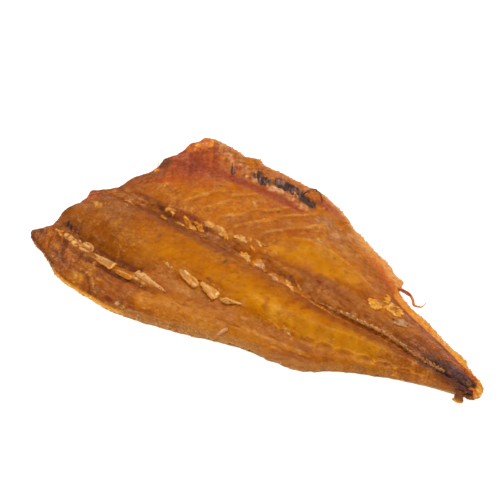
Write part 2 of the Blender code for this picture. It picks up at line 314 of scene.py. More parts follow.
def lay(colour, tone, share):
    """Lays a tone over the colour, by a share for each place."""
    return colour + (np.array(tone, float) - colour) * np.clip(share, 0, 1)[..., None]


def lay_lines(colour, x, y, lines):
    """Lays lines of (points, half width, tone, share) one after another; they waver and break up."""
    broken = 0.85 + 0.55 * rough(x, y, 3.0, 190)
    wx = x + 0.5 * rough(x, y, 2.4, 192) + 0.25 * mottle(x, y, 0.9, 196)
    wy = y + 0.5 * rough(x, y, 2.4, 194) + 0.25 * mottle(x, y, 0.9, 198)
    for points, width, line_tone, share in lines:
        colour = lay(colour, line_tone, share * broken * near(wx, wy, points, 1.25 * width, 0.15))
    return colour


def creases(x, y, cell, seed, thin=0.16):
    """1 along thin wandering lines: the places where a random field passes through 0."""
    wx = x + 0.5 * cell * mottle(x, y, 0.7 * cell, seed + 1)
    wy = y + 0.5 * cell * mottle(x, y, 0.7 * cell, seed + 2)
    return 1 - smoothstep(0, thin, np.abs(mottle(wx, wy, cell, seed)))


STRING_LINE = [
    (-104, -1), (-88, -0.6), (-70, 0.4), (-50, 0), (-30, -0.6), (-10, -2), (10, -3.4), (40, -5), (62, -5),
]


def strings(x, y, seed, weakest):
    """How stringy a place is, and the streaks of its sinews: 1 on the line along the seam, down to weakest
    towards the tail, and 0 away from it."""
    band = near(x, y, STRING_LINE, 5.5, 0.3) * (weakest + (1 - weakest) * ramp(12, -8, x))
    return band, fibres(x + 0.8 * mottle(x, y, 3, seed), y, -4, 6, 1.2, seed + 1)


def stringy(colour, x, y, seed):
    """Sinews and torn fibres along the seam: dark and pale streaks that run with the fish."""
    band, streak = strings(x, y, seed, 0.35)
    streak = streak + 0.6 * rough(x, y, 2.4, seed + 3)
    colour = lay(colour, (96, 50, 36), 0.8 * band * smoothstep(0.16, 0.6, streak))
    colour = lay(colour, (204, 142, 92), 0.6 * band * smoothstep(0.22, 0.62, -streak))
    wx, wy = wavering(x, y, 0.8, 3, 91, 1)
    film = near(wx, wy, [(-46, 2.8), (-43, 4), (-34, 3.6), (-24, 5), (-12, 7)], 1.7, 0.3)
    film = film + near(wx, wy, [(-19, -1.6), (-8, -2.6), (2, -5), (14, -6.8)], 1.7, 0.3)
    return lay(colour, (210, 142, 66), 0.6 * film * smoothstep(-0.5, 0.4, rough(x, y, 1.8, 93)))


def crispness(x, y, upper):
    """How sharp the fine surface is: low over the thick golden muscles, about 1 elsewhere, in patches."""
    calm = near(x, y, [(-4, 13), (40, 10)] if upper else [(-50, -22), (0, -25), (60, -20)], 13, 0.3)
    if not upper:
        calm = np.maximum(calm, 0.9 * near(x, y, [(-36, -48), (-10, -46), (20, -42), (50, -36)], 11, 0.4))
    sharp = 1.05 - 0.6 * calm + 0.25 * ramp(-50, -80, x)
    return np.clip(sharp * (1 + 0.9 * rough(x, y, 7, 90)), 0.15, 1.5)


def worked(colour, x, y, sharp, seed):
    """The flesh's mottling: broad and fine tone changes and dull stains of its own, painted shade in thin
    creases, and painted glints in short pale dashes.
    """
    shade = 0.05 * rough(x, y, 9, seed) + 0.08 * rough(x, y, 3.6, seed + 5)
    shade = shade + 0.13 * (sharp - 0.2) * rough(x, y, 1.5, seed + 10)
    shade = shade + 0.05 * fibres(x, y, -60, 7, 1.3, seed + 20)
    colour = colour * (1 + shade[..., None] * np.array([0.8, 1.3, 2.2]))
    colour = colour + (rough(x, y, 2.4, seed + 60) + 0.5 * rough(x, y, 6, seed + 63))[..., None] * (2, 6, 20)
    where = smoothstep(-0.2, 0.5, rough(x, y, 12, seed + 30))
    # painted shade: thin creases, also sunk in the relief, are painted darker and more orange
    colour = lay(colour, colour * (0.92, 0.78, 0.3), 0.7 * where * creases(x, y, 5.2, seed + 31))
    colour = lay(colour, colour * (0.86, 0.74, 0.5), 0.5 * where * creases(x, y, 2.7, seed + 35))
    # painted glints: short pale dashes, and brighter copies of the colour where the flesh is crisp
    dash = smoothstep(0.34, 0.6, fibres(x, y, -58, 2.6, 0.9, seed + 40))
    colour = lay(colour, (224, 160, 98), 0.34 * dash * smoothstep(0.0, 0.6, rough(x, y, 10, seed + 45)))
    glint = smoothstep(0.34, 0.54, fibres(x, y, -50, 1.7, 0.8, seed + 70)) * ramp(0.9, 1.35, sharp)
    colour = lay(colour, colour * (1.2, 1.42, 2.8), 0.7 * glint)
    # painted shade: more thin creases painted darker
    crease_shade = creases(x, y, 3.4, seed + 75, 0.12) * smoothstep(-0.1, 0.4, rough(x, y, 8, seed + 78))
    colour = lay(colour, colour * (0.78, 0.66, 0.6), 0.5 * crease_shade * ramp(0.7, 1.3, sharp))
    return lay(colour, (146, 74, 18), 0.4 * smoothstep(0.36, 0.62, rough(x, y, 2.6, seed + 50)))


def lay_spots(colour, x, y, spots):
    """Lays spots of (centre, half lengths, turn, tone, share) one after another."""
    for k, (centre, half, turn, spot_tone, share) in enumerate(spots):
        colour = lay(colour, spot_tone, share * patch(x, y, centre, half, turn, 0.35, 200 + k))
    return colour


# Spots and lines of the lower flap, from the head cut to the tail.
LOWER_BROADS = [
    ((-95, -25), (13, 6), 0, (172, 100, 32), 0.7),
    ((-103, -33.5), (7, 3.4), -10, (136, 74, 36), 0.75),
    # a pinkish painted sheen
    ((-104, -21), (8, 2.6), 8, (186, 118, 76), 0.45),
    ((-108, -12), (3.4, 4.6), 0, (190, 82, 38), 0.7),
    ((-100, -16.6), (3.6, 2.2), -24, (208, 134, 40), 0.9),
    ((-88, -12), (9, 4), -10, (166, 98, 42), 0.6),
    ((-76, -52), (7, 5), -20, (182, 110, 30), 0.75),
    ((-77.6, -60.4), (6, 3), 8, (206, 132, 40), 0.95),
    ((-69, -51.5), (3.4, 3.6), 60, (136, 66, 34), 0.7),
    ((-90, -51), (6, 4), 0, (170, 96, 48), 0.6),
    ((-108, -46.5), (8, 4), -18, (166, 94, 44), 0.7),
    ((-58, -53), (9, 3.5), 0, (158, 84, 36), 0.6),
    ((-57, -20), (3, 5), 0, (160, 88, 38), 0.5),
    ((-26, -39), (7, 3), -8, (194, 126, 66), 0.75),
    ((-43, -35.5), (6, 3), -25, (188, 114, 54), 0.6),
    ((-8, -42), (8, 3.5), -5, (184, 108, 42), 0.6),
    ((-38, -44), (6, 2.4), -10, (160, 80, 36), 0.6),
    ((3, -31.8), (3.2, 1.8), 0, (196, 126, 60), 0.6),
    ((24, -37.6), (17, 2.6), 8, (162, 86, 22), 0.75),
    ((-90, -52), (7, 5), -10, (176, 106, 54), 0.5),
    ((50, -35.6), (7, 2), 18, (180, 106, 46), 0.5),
    ((50, -19.4), (8, 2.4), 14, (176, 102, 14), 0.6),
    ((40, -35.6), (5, 2), 14, (154, 78, 28), 0.7),
    ((-100, -46.5), (4, 3.4), 0, (134, 72, 34), 0.7),
    ((-30, -32.4), (3, 1.6), -20, (212, 150, 82), 0.6),
    ((-34, -40), (6, 3.4), -10, (196, 130, 76), 0.5),
    ((-14, -44.6), (12, 2.4), 12, (202, 132, 58), 0.5),
    # a painted pale-gold sheen on the bulge's slope
    ((21, -28), (7, 3.6), 6, (214, 148, 54), 0.6),
    ((60, -20), (14, 4), 14, (204, 132, 14), 0.5),
    ((-20, -36.5), (6, 2.6), -10, (192, 126, 56), 0.6),
    ((-6, -51), (14, 4), 14, (198, 132, 64), 0.5),
    ((-46, -17), (12, 6), 0, (176, 98, 6), 0.45),
    ((-60, -48.6), (7, 1.6), -4, (118, 58, 24), 0.6),
    ((38, -42.6), (12, 2.6), 16, (160, 82, 42), 0.75),
    ((13, -38), (9, 3.4), 4, (176, 104, 34), 0.6),
]
LOWER_LINES = [
    ([(-113, -6), (-114, -13), (-112, -19), (-115, -27), (-113, -35)], 2.6, (140, 80, 48), 0.5),
    ([(-88.5, -18), (-87, -22), (-85.6, -26)], 0.8, (148, 74, 28), 0.6),
    ([(-95, -14.6), (-90, -16), (-84, -22)], 0.7, (150, 82, 34), 0.45),
    ([(-104.5, -27.4), (-100.4, -30)], 0.55, (200, 140, 90), 0.7),
    ([(-99, -29.5), (-98, -35)], 0.7, (108, 56, 32), 0.55),
    ([(-75, -25), (-70, -29), (-66, -34)], 0.5, (150, 86, 46), 0.6),
    ([(-104, -40.4), (-100.6, -44.5), (-97, -49)], 0.8, (196, 122, 50), 0.65),
    ([(-101.6, -41), (-97, -46.5), (-93, -52)], 0.8, (118, 58, 30), 0.6),
    ([(-107, -41), (-107.5, -49)], 0.9, (184, 104, 46), 0.5),
    ([(-111, -43), (-113, -49)], 0.9, (176, 92, 46), 0.5),
    ([(-94, -46.5), (-88, -54)], 0.7, (196, 122, 74), 0.5),
    ([(-77, -47.6), (-73.4, -51.6)], 0.9, (206, 138, 78), 0.7),
    ([(-84, -52), (-82, -57.5)], 0.6, (196, 124, 60), 0.4),
    ([(-83.4, -56.6), (-78, -57), (-73, -57)], 0.6, (118, 60, 30), 0.7),
    ([(-82, -55.4), (-76, -55.4)], 0.5, (206, 140, 74), 0.6),
    ([(-70.6, -50), (-66, -53.4), (-60, -55)], 0.5, (208, 142, 84), 0.5),
    ([(-70, -51.4), (-65, -54.6), (-58, -56.4)], 0.6, (132, 66, 30), 0.6),
    ([(-72.6, -55.6), (-67.4, -59.6), (-63.4, -63.2)], 0.6, (212, 150, 90), 0.7),
    ([(-73.6, -57.2), (-69, -61), (-65.4, -64.2)], 0.8, (112, 56, 30), 0.9),
    ([(-119.4, -47), (-116, -50.2), (-107, -53.8), (-99, -56.6), (-94, -59.2)], 1.2, (112, 64, 44), 0.85),
    ([(-104, -50.6), (-96, -53.2), (-89, -56)], 1.6, (118, 68, 44), 0.45),
    ([(-99, -52), (-93, -54.4), (-88, -56.6)], 0.7, (104, 60, 44), 0.5),
    ([(-100, -53), (-92, -55.5), (-86, -57)], 0.5, (160, 110, 90), 0.6),
    ([(-99, -54.6), (-90, -57.2)], 0.4, (160, 112, 92), 0.5),
    ([(-112, -53), (-102, -56)], 1.0, (176, 116, 70), 0.6),
    ([(-72, -63.2), (-62, -64.2), (-50, -63.6)], 1.1, (134, 68, 36), 0.7),
    ([(-66, -60), (-52, -60.6), (-42, -59.2)], 0.8, (142, 76, 38), 0.5),
    ([(-50, -46.2), (-44, -49), (-37, -49)], 1.2, (140, 76, 38), 0.5),
    ([(-29, -46.2), (-24, -47.2), (-18, -46)], 0.6, (148, 74, 26), 0.7),
    ([(-44, -27.6), (-36, -28.6), (-26, -29), (-22, -29.6)], 0.8, (168, 88, 18), 0.7),
    ([(-21, -29.4), (-12, -30.2), (-6, -30.6)], 0.8, (160, 80, 18), 0.6),
    # a painted shadow above a rib stub
    ([(-21, -29.4), (-17, -29.9)], 0.5, (112, 56, 26), 0.7),
    ([(-43, -47.7), (-23, -46.2), (0, -44.4)], 0.6, (196, 124, 56), 0.45),
    ([(-4, -44.8), (4, -43.8), (10, -43)], 0.5, (146, 82, 20), 0.8),
    ([(10, -42.4), (17, -41.8), (24, -40.8), (34, -39.4), (44, -38)], 1.1, (202, 134, 58), 0.65),
    ([(24, -42.4), (34, -41.4), (46, -39)], 0.7, (146, 76, 40), 0.6),
    ([(58, -34.6), (66, -30.2), (76, -25.4), (88, -20.4), (98, -17)], 0.6, (150, 86, 40), 0.5),
    ([(52, -38.4), (55, -36.8), (58, -35.6)], 1.1, (92, 58, 54), 0.85),
    ([(12, -7.4), (26, -8.6), (40, -10), (62, -9.4), (88, -9.8)], 0.9, (122, 64, 38), 0.3),
    ([(13, -7.6), (20, -8), (28, -8.8)], 1.4, (130, 64, 34), 0.7),
    ([(43, -8), (52, -8.1), (60, -7.6), (66, -7)], 1.2, (196, 124, 74), 0.6),
]
LOWER_SPOTS = [
    ((-106.2, -33.2), (0.8, 1.7), 30, (50, 42, 54), 1.0),
    ((-103.4, -34.0), (0.9, 1.4), 30, (54, 44, 54), 1.0),
    ((-80, -29), (0.7, 0.5), 0, (84, 60, 52), 0.9),
    ((-58, -18.4), (0.9, 2.0), 20, (138, 76, 40), 0.7),
    ((-52.4, -14), (1.2, 0.9), 0, (146, 80, 44), 0.7),
    ((-20.4, -14.4), (0.9, 2.2), 10, (100, 64, 50), 0.9),
    ((-23, -32.2), (0.9, 0.5), -30, (70, 40, 30), 0.95),
    ((-64, -61.4), (1.8, 1.1), -10, (126, 92, 72), 0.7),
    ((-84, -57.4), (0.9, 0.7), 0, (96, 62, 62), 0.8),
    ((-60, -49), (2.4, 1.0), 0, (88, 42, 28), 0.8),
    ((-55, -62.8), (2.6, 1.3), 0, (126, 50, 30), 0.9),
    ((-42, -61.4), (2.4, 1.1), 12, (134, 58, 34), 0.85),
    ((-50, -62.8), (1.3, 0.9), 0, (222, 180, 142), 0.8),
    ((-46.2, -62.6), (0.9, 0.8), 0, (216, 170, 132), 0.8),
    ((-42.6, -62.8), (1.5, 0.8), 10, (220, 174, 130), 0.75),
    ((-38, -61.8), (3, 0.9), 10, (200, 144, 92), 0.6),
    ((-34, -59.4), (3, 0.9), 10, (152, 72, 40), 0.6),
    ((-66.4, -56.4), (2.2, 0.8), 0, (210, 154, 96), 0.6),
    ((29, -32.8), (1.5, 0.8), 12, (226, 172, 106), 0.8),
    ((33, -35), (0.8, 0.7), 0, (206, 150, 90), 0.7),
    ((8, -37.8), (1.8, 0.8), 20, (206, 148, 92), 0.6),
    ((16.6, -38.6), (0.6, 1.1), 20, (212, 140, 80), 0.7),
    ((39, -38.4), (2.4, 1.0), 15, (196, 136, 80), 0.7),
    ((41, -43), (3.4, 1.2), 12, (186, 124, 92), 0.6),
    ((61.6, -17.6), (1.3, 2.2), 10, (206, 140, 66), 0.6),
    ((-68.6, -34.8), (2.0, 0.8), 0, (196, 132, 86), 0.6),
    ((-85, -33.4), (4, 1.6), 0, (166, 100, 60), 0.5),
]


SCALLOP_LINE = [(16, -34.8), (30, -32.2), (48, -28.8), (64, -24.2), (76, -21), (94, -16.6)]
SCALLOP_PITCH = 9.4


def scallops(x, y):
    """Rims of the muscle segments near the lower edge, an arch every 9.4 mm: the share of the bright line on
    each arch, a painted highlight, and of the dark hollow under it, painted shade."""
    arch = np.abs(np.sin(math.pi * (x - 16 + 1.2 * mottle(x, y, 9, 181)) / SCALLOP_PITCH))
    below = 0.93 * (through(SCALLOP_LINE, x) - y) + 1.7 * arch**0.6 - 1.0 + 0.3 * mottle(x, y, 3, 182)
    inside = ramp(16, 24, x) * ramp(97, 90, x)
    broken = smoothstep(-0.5, 0.4, rough(x, y, 4, 183))
    shine = inside * broken * (1 - smoothstep(0.12, 0.55, np.abs(below)))
    shade = inside * arch * smoothstep(0.2, 1.0, below) * (1 - smoothstep(1.8, 3.8, below))
    return shine, shade


def dark_tail(colour, x, y):
    """The streaky flesh at the tail, brown and then purple-black along the seam, with painted highlights on
    its pale streaks.
    """
    wx, wy = wavering(x, y, 0.8, 4, 48, 1)
    brown = near(wx, wy, [(74, -7), (94, -7.4), (114, -8)], 8, 0.3) * ramp(68, 94, x)
    colour = lay(colour, (130, 66, 46), 0.8 * brown)
    black = near(wx, wy, [(90, -9), (99, -8), (107, -8), (113, -9)], 6.4, 0.4) * ramp(82, 98, x)
    streak = fibres(x, y, -8, 7, 1.0, 61)
    colour = lay(colour, (74, 42, 50), black * (1 + 0.2 * streak))
    # painted highlights on the pale streaks of the black flesh
    return lay(colour, (124, 84, 78), 0.55 * black * smoothstep(0.1, 0.5, streak))


def lower_colour(x, y, sharp):
    """Colour of the lower flap: a golden bulge with a painted highlight on its crest, a valley in painted
    shade with bones, a tan flap and its dark rim.
    """
    broad, fine = rough(x, y, 8, 40), rough(x, y, 1.9, 41)
    wx, wy = wavering(x, y, 0.8, 5, 43)
    colour = plain(AMBER, x)
    # the thick muscle, golden and brighter along the crest of its bulge: partly its gold, partly a painted
    # highlight
    bulge = near(wx, wy, [(-82, -20), (-40, -20), (0, -23), (40, -21.5), (72, -17), (90, -14.5)], 15, 0.4)
    colour = lay(colour, GOLD, bulge * (0.9 + 0.2 * broad) * ramp(-104, -62, x))
    crest_gold_and_highlight = near(wx, wy, [(0, -26), (20, -27), (44, -26.4), (66, -21.4), (84, -16.4)], 9, 0.25)
    colour = lay(colour, BRIGHT_GOLD, crest_gold_and_highlight * (0.75 + 0.3 * broad))
    colour = lay(colour, (208, 140, 48), 0.4 * crest_gold_and_highlight * ramp(10, 40, x))
    colour = lay(colour, BRIGHT_GOLD, 0.4 * near(x, y, [(-50, -25), (-10, -24)], 6) * (0.6 + 0.6 * broad))
    # brown flesh at the head, and along the seam
    colour = lay(colour, (164, 91, 18), 0.8 * ramp(-54, -84, x))
    colour = lay(colour, (148, 84, 42), 0.75 * ramp(-92, -112, x) * (1 + 0.4 * broad))
    beside = near(wx, wy, [(-106, -5), (-40, -5), (0, -8), (40, -11), (80, -11), (112, -11)], 8.5, 0.35)
    beside = beside * (1 - 0.8 * near(x, y, [(-14, -4), (16, -8)], 16))
    colour = lay(colour, (156, 84, 30), beside * (0.85 + 0.25 * fine))
    colour = lay(colour, (140, 70, 28), beside * 0.7 * smoothstep(0.05, 0.6, fibres(x, y, -62, 9, 1.5, 47)))
    colour = lay(colour, (108, 56, 36), 0.55 * near(wx, wy, [(-82, -3), (-70, -3.6), (-54, -4.2)], 4.2, 0.2))
    colour = lay(colour, (142, 82, 50), 0.3 * near(wx, wy, [(-62, -6), (-40, -7), (-24, -7.6)], 5, 0.2))
    # the flap outside the bones
    flap = near(wx, wy, [(-116, -48), (-90, -55), (-60, -58), (-44, -56)], 11, 0.6)
    colour = lay(colour, (168, 92, 30), 0.9 * flap)
    outer = near(wx, wy, [(-40, -54), (-10, -49), (20, -44), (40, -40)], 7, 0.4)
    colour = lay(colour, (202, 128, 42), outer * (0.8 + 0.3 * broad))
    below = near(wx, wy, [(-48, -38), (-20, -40), (0, -40)], 7, 0.3)
    colour = lay(colour, (182, 108, 50), below * (0.7 + 0.5 * fine))
    colour = lay_spots(colour, wx, wy, LOWER_BROADS)
    fan = near(wx, wy, [(-116, -46), (-100, -47), (-84, -50)], 8, 0.4)
    streaks = fibres(x, y, -64, 9, 1.3, 65)
    colour = lay(colour, (104, 52, 30), 0.8 * fan * smoothstep(0.05, 0.45, streaks))
    colour = lay(colour, (204, 126, 62), 0.6 * fan * smoothstep(0.08, 0.5, -streaks))
    # painted shade, dark red-brown, in the sunken valley above the bones, and a painted shadow line under
    # them
    valley = near(wx, wy, [(-100, -36.4), (-90, -38.2), (-80, -40), (-66, -40.6), (-54, -40.4)], 2.9, 0.45)
    colour = lay(colour, (114, 52, 20), valley * (0.6 + 0.3 * ramp(-94, -74, x) + 0.2 * fine))
    line = [(-104, -43), (-92, -46.8), (-78, -48), (-60, -49), (-44, -48.5), (-34, -47)]
    under = near(wx, wy, line, 2.4, 0.2)
    colour = lay(colour, (104, 46, 24), 0.85 * under * ramp(-34, -56, x) * (0.4 + 0.6 * ramp(-94, -78, x)))
    colour = lay_lines(colour, x + 0.3 * fine, y + 0.3 * fine, LOWER_LINES)
    colour = lay(colour, (182, 106, 30), 0.7 * near(wx, wy, [(74, -20), (90, -16.6), (106, -14)], 4.4, 0.3))
    shine, shade = scallops(x, y)
    # painted shade in each arch's hollow, and a painted highlight on its rim
    colour = lay(colour, (160, 84, 26), 0.7 * shade)
    colour = lay(colour, (216, 146, 56), 0.7 * shine)
    colour = stringy(colour, x, y, LOWER_STRINGS)
    # the dark, streaky flesh at the tail
    colour = dark_tail(colour, x, y)
    return lay_spots(worked(colour, x, y, sharp, LOWER_SEED), x, y, LOWER_SPOTS)


RED_FLAP = (-84, 42), (27, 25), -18  # the thin belly wall: centre, half lengths, turn
UPPER_BROADS = [
    ((-96, 14), (7, 14), -20, (152, 78, 46), 0.8),
    ((-92, 30), (3.6, 5.6), 15, (110, 58, 34), 0.85),
    ((-84, 12), (6, 2.6), 25, (180, 108, 58), 0.5),
    ((-78, 9), (2.2, 4), 0, (176, 102, 22), 0.55),
    ((-64, 8), (8, 3.4), 10, (180, 104, 38), 0.5),
    ((-66, 28), (8, 6), 20, (192, 102, 30), 0.5),
    ((-88, 59), (6.4, 7), -25, (216, 122, 58), 0.85),
    ((-66, 55), (12, 7), -12, (182, 112, 66), 0.55),
    ((-12, 27), (5, 3.6), 35, (188, 122, 74), 0.6),
    ((-14, 20), (6, 6), 30, (172, 94, 46), 0.5),
    ((-30, 14), (12, 5), 12, (182, 102, 40), 0.5),
    ((-12, 13), (8, 5), 10, (174, 96, 30), 0.6),
    ((70, 4), (10, 5), -20, (184, 106, 10), 0.7),
    ((84, -2), (11, 4), -10, (136, 68, 22), 0.6),
    ((2, 44), (9, 6), -20, (178, 116, 72), 0.8),
    ((14, 38), (12, 6), -30, (176, 112, 66), 0.75),
    ((22, 31), (10, 5), -25, (188, 122, 58), 0.7),
    ((38, 27), (9, 4), -25, (176, 106, 50), 0.6),
    ((-8, 36), (6, 5), 30, (180, 98, 38), 0.5),
    ((-4, 22), (4, 4), 40, (176, 84, 36), 0.6),
    ((-2, 30), (2.6, 2.2), 30, (158, 80, 42), 0.6),
    ((10.6, 37.4), (3.6, 2.2), -12, (206, 146, 104), 0.8),
    ((16, 45), (4, 3), -30, (196, 132, 84), 0.6),
    ((-6, 56), (8, 3.6), -22, (176, 78, 40), 0.75),
    ((28, 2.4), (16, 3.6), -4, (154, 82, 30), 0.8),
    ((42, 5), (12, 3.6), -8, (160, 88, 18), 0.6),
    ((-22, 10), (14, 12), 10, (172, 98, 28), 0.4),
    ((20, 41), (5, 3.4), -30, (206, 142, 90), 0.7),
    ((60, 16), (3, 5), -50, (158, 84, 30), 0.7),
    ((52, 8), (8, 5), -20, (184, 104, 20), 0.5),
    ((59, 8.6), (5, 4), 30, (202, 120, 22), 0.6),
    ((49, 5.6), (7, 5), -10, (156, 80, 8), 0.8),
    ((20, -0.6), (7, 2.2), -4, (144, 76, 26), 0.7),
    ((49, 20), (5, 5), -50, (168, 92, 36), 0.6),
    ((70, 11), (4, 4), -50, (166, 88, 40), 0.6),
    ((-90, 40), (4, 5), 0, (188, 92, 42), 0.7),
    ((-91, 51), (4, 3.6), 0, (208, 120, 62), 0.7),
    ((-90, 21), (4.6, 3.6), 20, (138, 70, 42), 0.65),
    ((-90, 8), (4, 2.6), 20, (180, 110, 66), 0.6),
    ((-70, 32), (4, 4), 20, (190, 96, 36), 0.6),
    ((-70, 12), (4, 2.6), 10, (192, 122, 54), 0.6),
    ((-30, 46.4), (7, 3), -22, (156, 78, 48), 0.75),
    ((-28, 37), (8, 4), -10, (178, 92, 16), 0.6),
    ((2, 52), (6, 3), -24, (196, 116, 72), 0.6),
    ((10, 26), (6, 3.6), -20, (202, 138, 60), 0.7),
    ((17, 20), (8, 5), -20, (204, 136, 46), 0.5),
    ((-1, 15), (5, 5), 0, (184, 102, 24), 0.55),
    ((-10, 55.4), (3, 2), -20, (138, 74, 50), 0.6),
]
RIBS = [
    [(-66, 9), (-61.6, 16), (-57, 23), (-55, 27)], [(-54, 11), (-49.6, 17), (-45, 24)],
    [(-43, 11), (-38, 15.6), (-34, 18), (-31, 24)], [(-32, 10), (-27, 15.4), (-22, 20.4), (-18, 26)],
    [(-17.4, 30), (-13, 36), (-9.6, 40.6), (-7, 46)], [(-16, 15), (-10, 20.6), (-6, 27), (-1, 34), (1.6, 42)],
    [(-36.4, 33), (-33.6, 29.4), (-30.4, 26.6)], [(-47, 28), (-42, 33), (-38, 38)],
    [(2, 39), (3, 33), (4, 28)], [(4, 38), (8, 32), (12, 26)], [(-26, 28), (-22, 34), (-19, 40)],
]
UPPER_LINES = [
    ([(26, -5), (34, -5.3), (38, -5)], 1.5, (196, 138, 88), 0.5),
    ([(72, -4.8), (84, -6)], 1.3, (92, 44, 20), 0.6),
    # silvery sinews near the head cut
    ([(-104, -1.6), (-96, -0.2), (-88, 2), (-82, 4)], 0.7, (176, 124, 100), 0.6),
    ([(-100, -2.4), (-92, -0.6), (-82, 1.4), (-72, 3.2)], 0.55, (180, 126, 100), 0.55),
    ([(-94, -3), (-84, -0.6), (-76, 1)], 0.5, (172, 118, 96), 0.5),
    ([(-97, 3.6), (-89, 5.6), (-80, 6.4)], 0.6, (176, 112, 76), 0.4),
    ([(-101.4, 6), (-101.6, 2), (-101.8, -2)], 0.6, (196, 140, 96), 0.6),
    ([(-90, 3), (-86, 3), (-80, 4)], 1.2, (150, 64, 24), 0.6),
    ([(-91, 12), (-87, 15.4), (-83.6, 18.4), (-80, 21.4)], 1.8, (178, 66, 24), 0.8),
    ([(-100, 12), (-92, 8), (-84, 9)], 0.8, (176, 96, 60), 0.4),
    # the gold line above the tail muscle
    ([(-3, 18.6), (1, 21), (5, 23.4), (12, 24.2), (20, 23.6), (28, 22)], 1.0, (216, 150, 54), 0.7),
    ([(28, 22), (36, 19), (44, 15.6), (50, 13.6)], 0.7, (206, 142, 62), 0.45),
    # red lines inside the clear rim
    ([(-58, 40), (-50, 41.4), (-42, 43.6), (-34, 44.4)], 3.6, (160, 60, 0), 0.6),
    ([(20, 41), (28, 38.4), (36, 34), (46, 29), (52, 24.6)], 1.6, (184, 86, 48), 0.6),
    ([(44, 27), (50, 24), (54, 21.6), (57, 20)], 1.4, (164, 66, 34), 0.8),
    ([(55, 27.6), (56.4, 25), (56, 21.6)], 2.2, (168, 72, 38), 0.85),
    ([(57, 17.8), (66, 13.6), (76, 10.2), (86, 6.8), (96, 2.8), (104, 0), (110, -2)],
     2.6, (158, 72, 22), 0.75),
    # the crevice beside the backbone's place
    ([(-80, -1.6), (-73, -1.8), (-66, 0.2), (-60, 0.2), (-50, -0.6), (-44, 0.4)], 1.3, (92, 46, 32), 0.7),
    ([(-64, 3.6), (-57, 4), (-50, 3.4), (-46, 2.6)], 2.2, (142, 56, 20), 0.9),
    ([(-62, 3.6), (-56, 3.8), (-50, 3)], 0.9, (120, 30, 18), 0.8),
    ([(-78, 3.4), (-72, 1.4), (-68, -1)], 1.1, (96, 54, 44), 0.7),
    ([(-42, -1), (-34, -1.6), (-26, -2.4), (-20, -3.6)], 1.6, (134, 76, 48), 0.35),
    ([(-4, -0.8), (6, -2.4), (16, -3.4), (26, -4.4)], 1.6, (134, 76, 40), 0.6),
    ([(-46, 1), (-38, 2), (-30, 2.8)], 0.7, (118, 60, 36), 0.7),
    ([(-12, 2.2), (0, 2.6), (14, 2.6), (24, 1.4)], 0.7, (140, 70, 34), 0.6),
    ([(-12, 1.2), (4, 1.6), (20, 0.6)], 0.6, (180, 104, 34), 0.5),
    ([(22, 1.6), (25, 1.3)], 0.6, (158, 50, 24), 0.7),
    ([(28, 0.8), (34, 0), (44, -1.4)], 0.8, (134, 68, 34), 0.6),
    ([(70, 5), (74, 4.2), (78, 3.6)], 0.6, (184, 112, 36), 0.6),
]
UPPER_SPOTS = [
    ((-92.4, 22.4), (1.9, 1.5), 20, (240, 152, 46), 1.0),
    ((-89.4, 55), (1.8, 1.2), -10, (240, 166, 60), 0.9),
    ((-84, 60.6), (1.2, 3.4), 20, (240, 158, 56), 0.85),
    ((-79, 57), (1.6, 3), 30, (158, 58, 36), 0.6),
    ((-60.8, 52.6), (2.6, 3), 20, (160, 60, 40), 0.7),
    ((-56, 31.6), (0.7, 1.2), 0, (100, 56, 34), 0.9),
    ((-62.6, 25.4), (0.6, 0.8), 0, (120, 76, 36), 0.8),
    ((-20.6, 32.4), (0.6, 1.4), 0, (96, 60, 40), 0.9),
    ((-38.6, 31.8), (0.5, 0.5), 0, (140, 76, 50), 0.7),
    ((-3.4, 27), (0.6, 1), 0, (112, 70, 56), 0.7),
    ((21.4, 20.4), (1.0, 0.9), 0, (148, 96, 56), 0.8),
    ((-4.2, 53.4), (0.6, 0.6), 0, (88, 50, 40), 0.9),
    ((10.3, -2), (0.9, 0.7), 0, (58, 44, 44), 0.95),
    ((66.3, 2), (0.8, 1.0), 40, (58, 42, 44), 0.95),
    ((-63, 59.4), (2.0, 1.2), 0, (206, 146, 72), 0.6),
    # four pale spots on the ribs: painted glints
    ((-58.4, 21), (2.4, 1.2), 35, (222, 160, 84), 0.6),
    ((-47, 19), (1.6, 0.9), 20, (218, 156, 80), 0.5),
    ((-38, 15), (2.0, 0.9), 8, (224, 168, 90), 0.65),
    ((-26.6, 15.8), (1.0, 0.7), 0, (226, 166, 84), 0.6),
    ((24, 29), (1.4, 1.0), 0, (206, 140, 84), 0.5),
    ((-86, 50), (2.4, 1.4), 0, (140, 52, 32), 0.5),
    ((20.8, -3.2), (3.0, 2.0), -6, (196, 130, 76), 0.75),
    ((25.4, -4.6), (1.6, 1.1), -30, (188, 120, 62), 0.6),
    ((32.6, -4.6), (2.6, 1.3), -14, (196, 130, 72), 0.6),
    ((37.4, -5.4), (2.4, 1.1), -18, (202, 138, 74), 0.6),
    ((49, -5.2), (2.0, 1.4), 8, (200, 138, 84), 0.7),
    ((55, -5.4), (2.6, 1.0), -6, (192, 126, 70), 0.6),
]


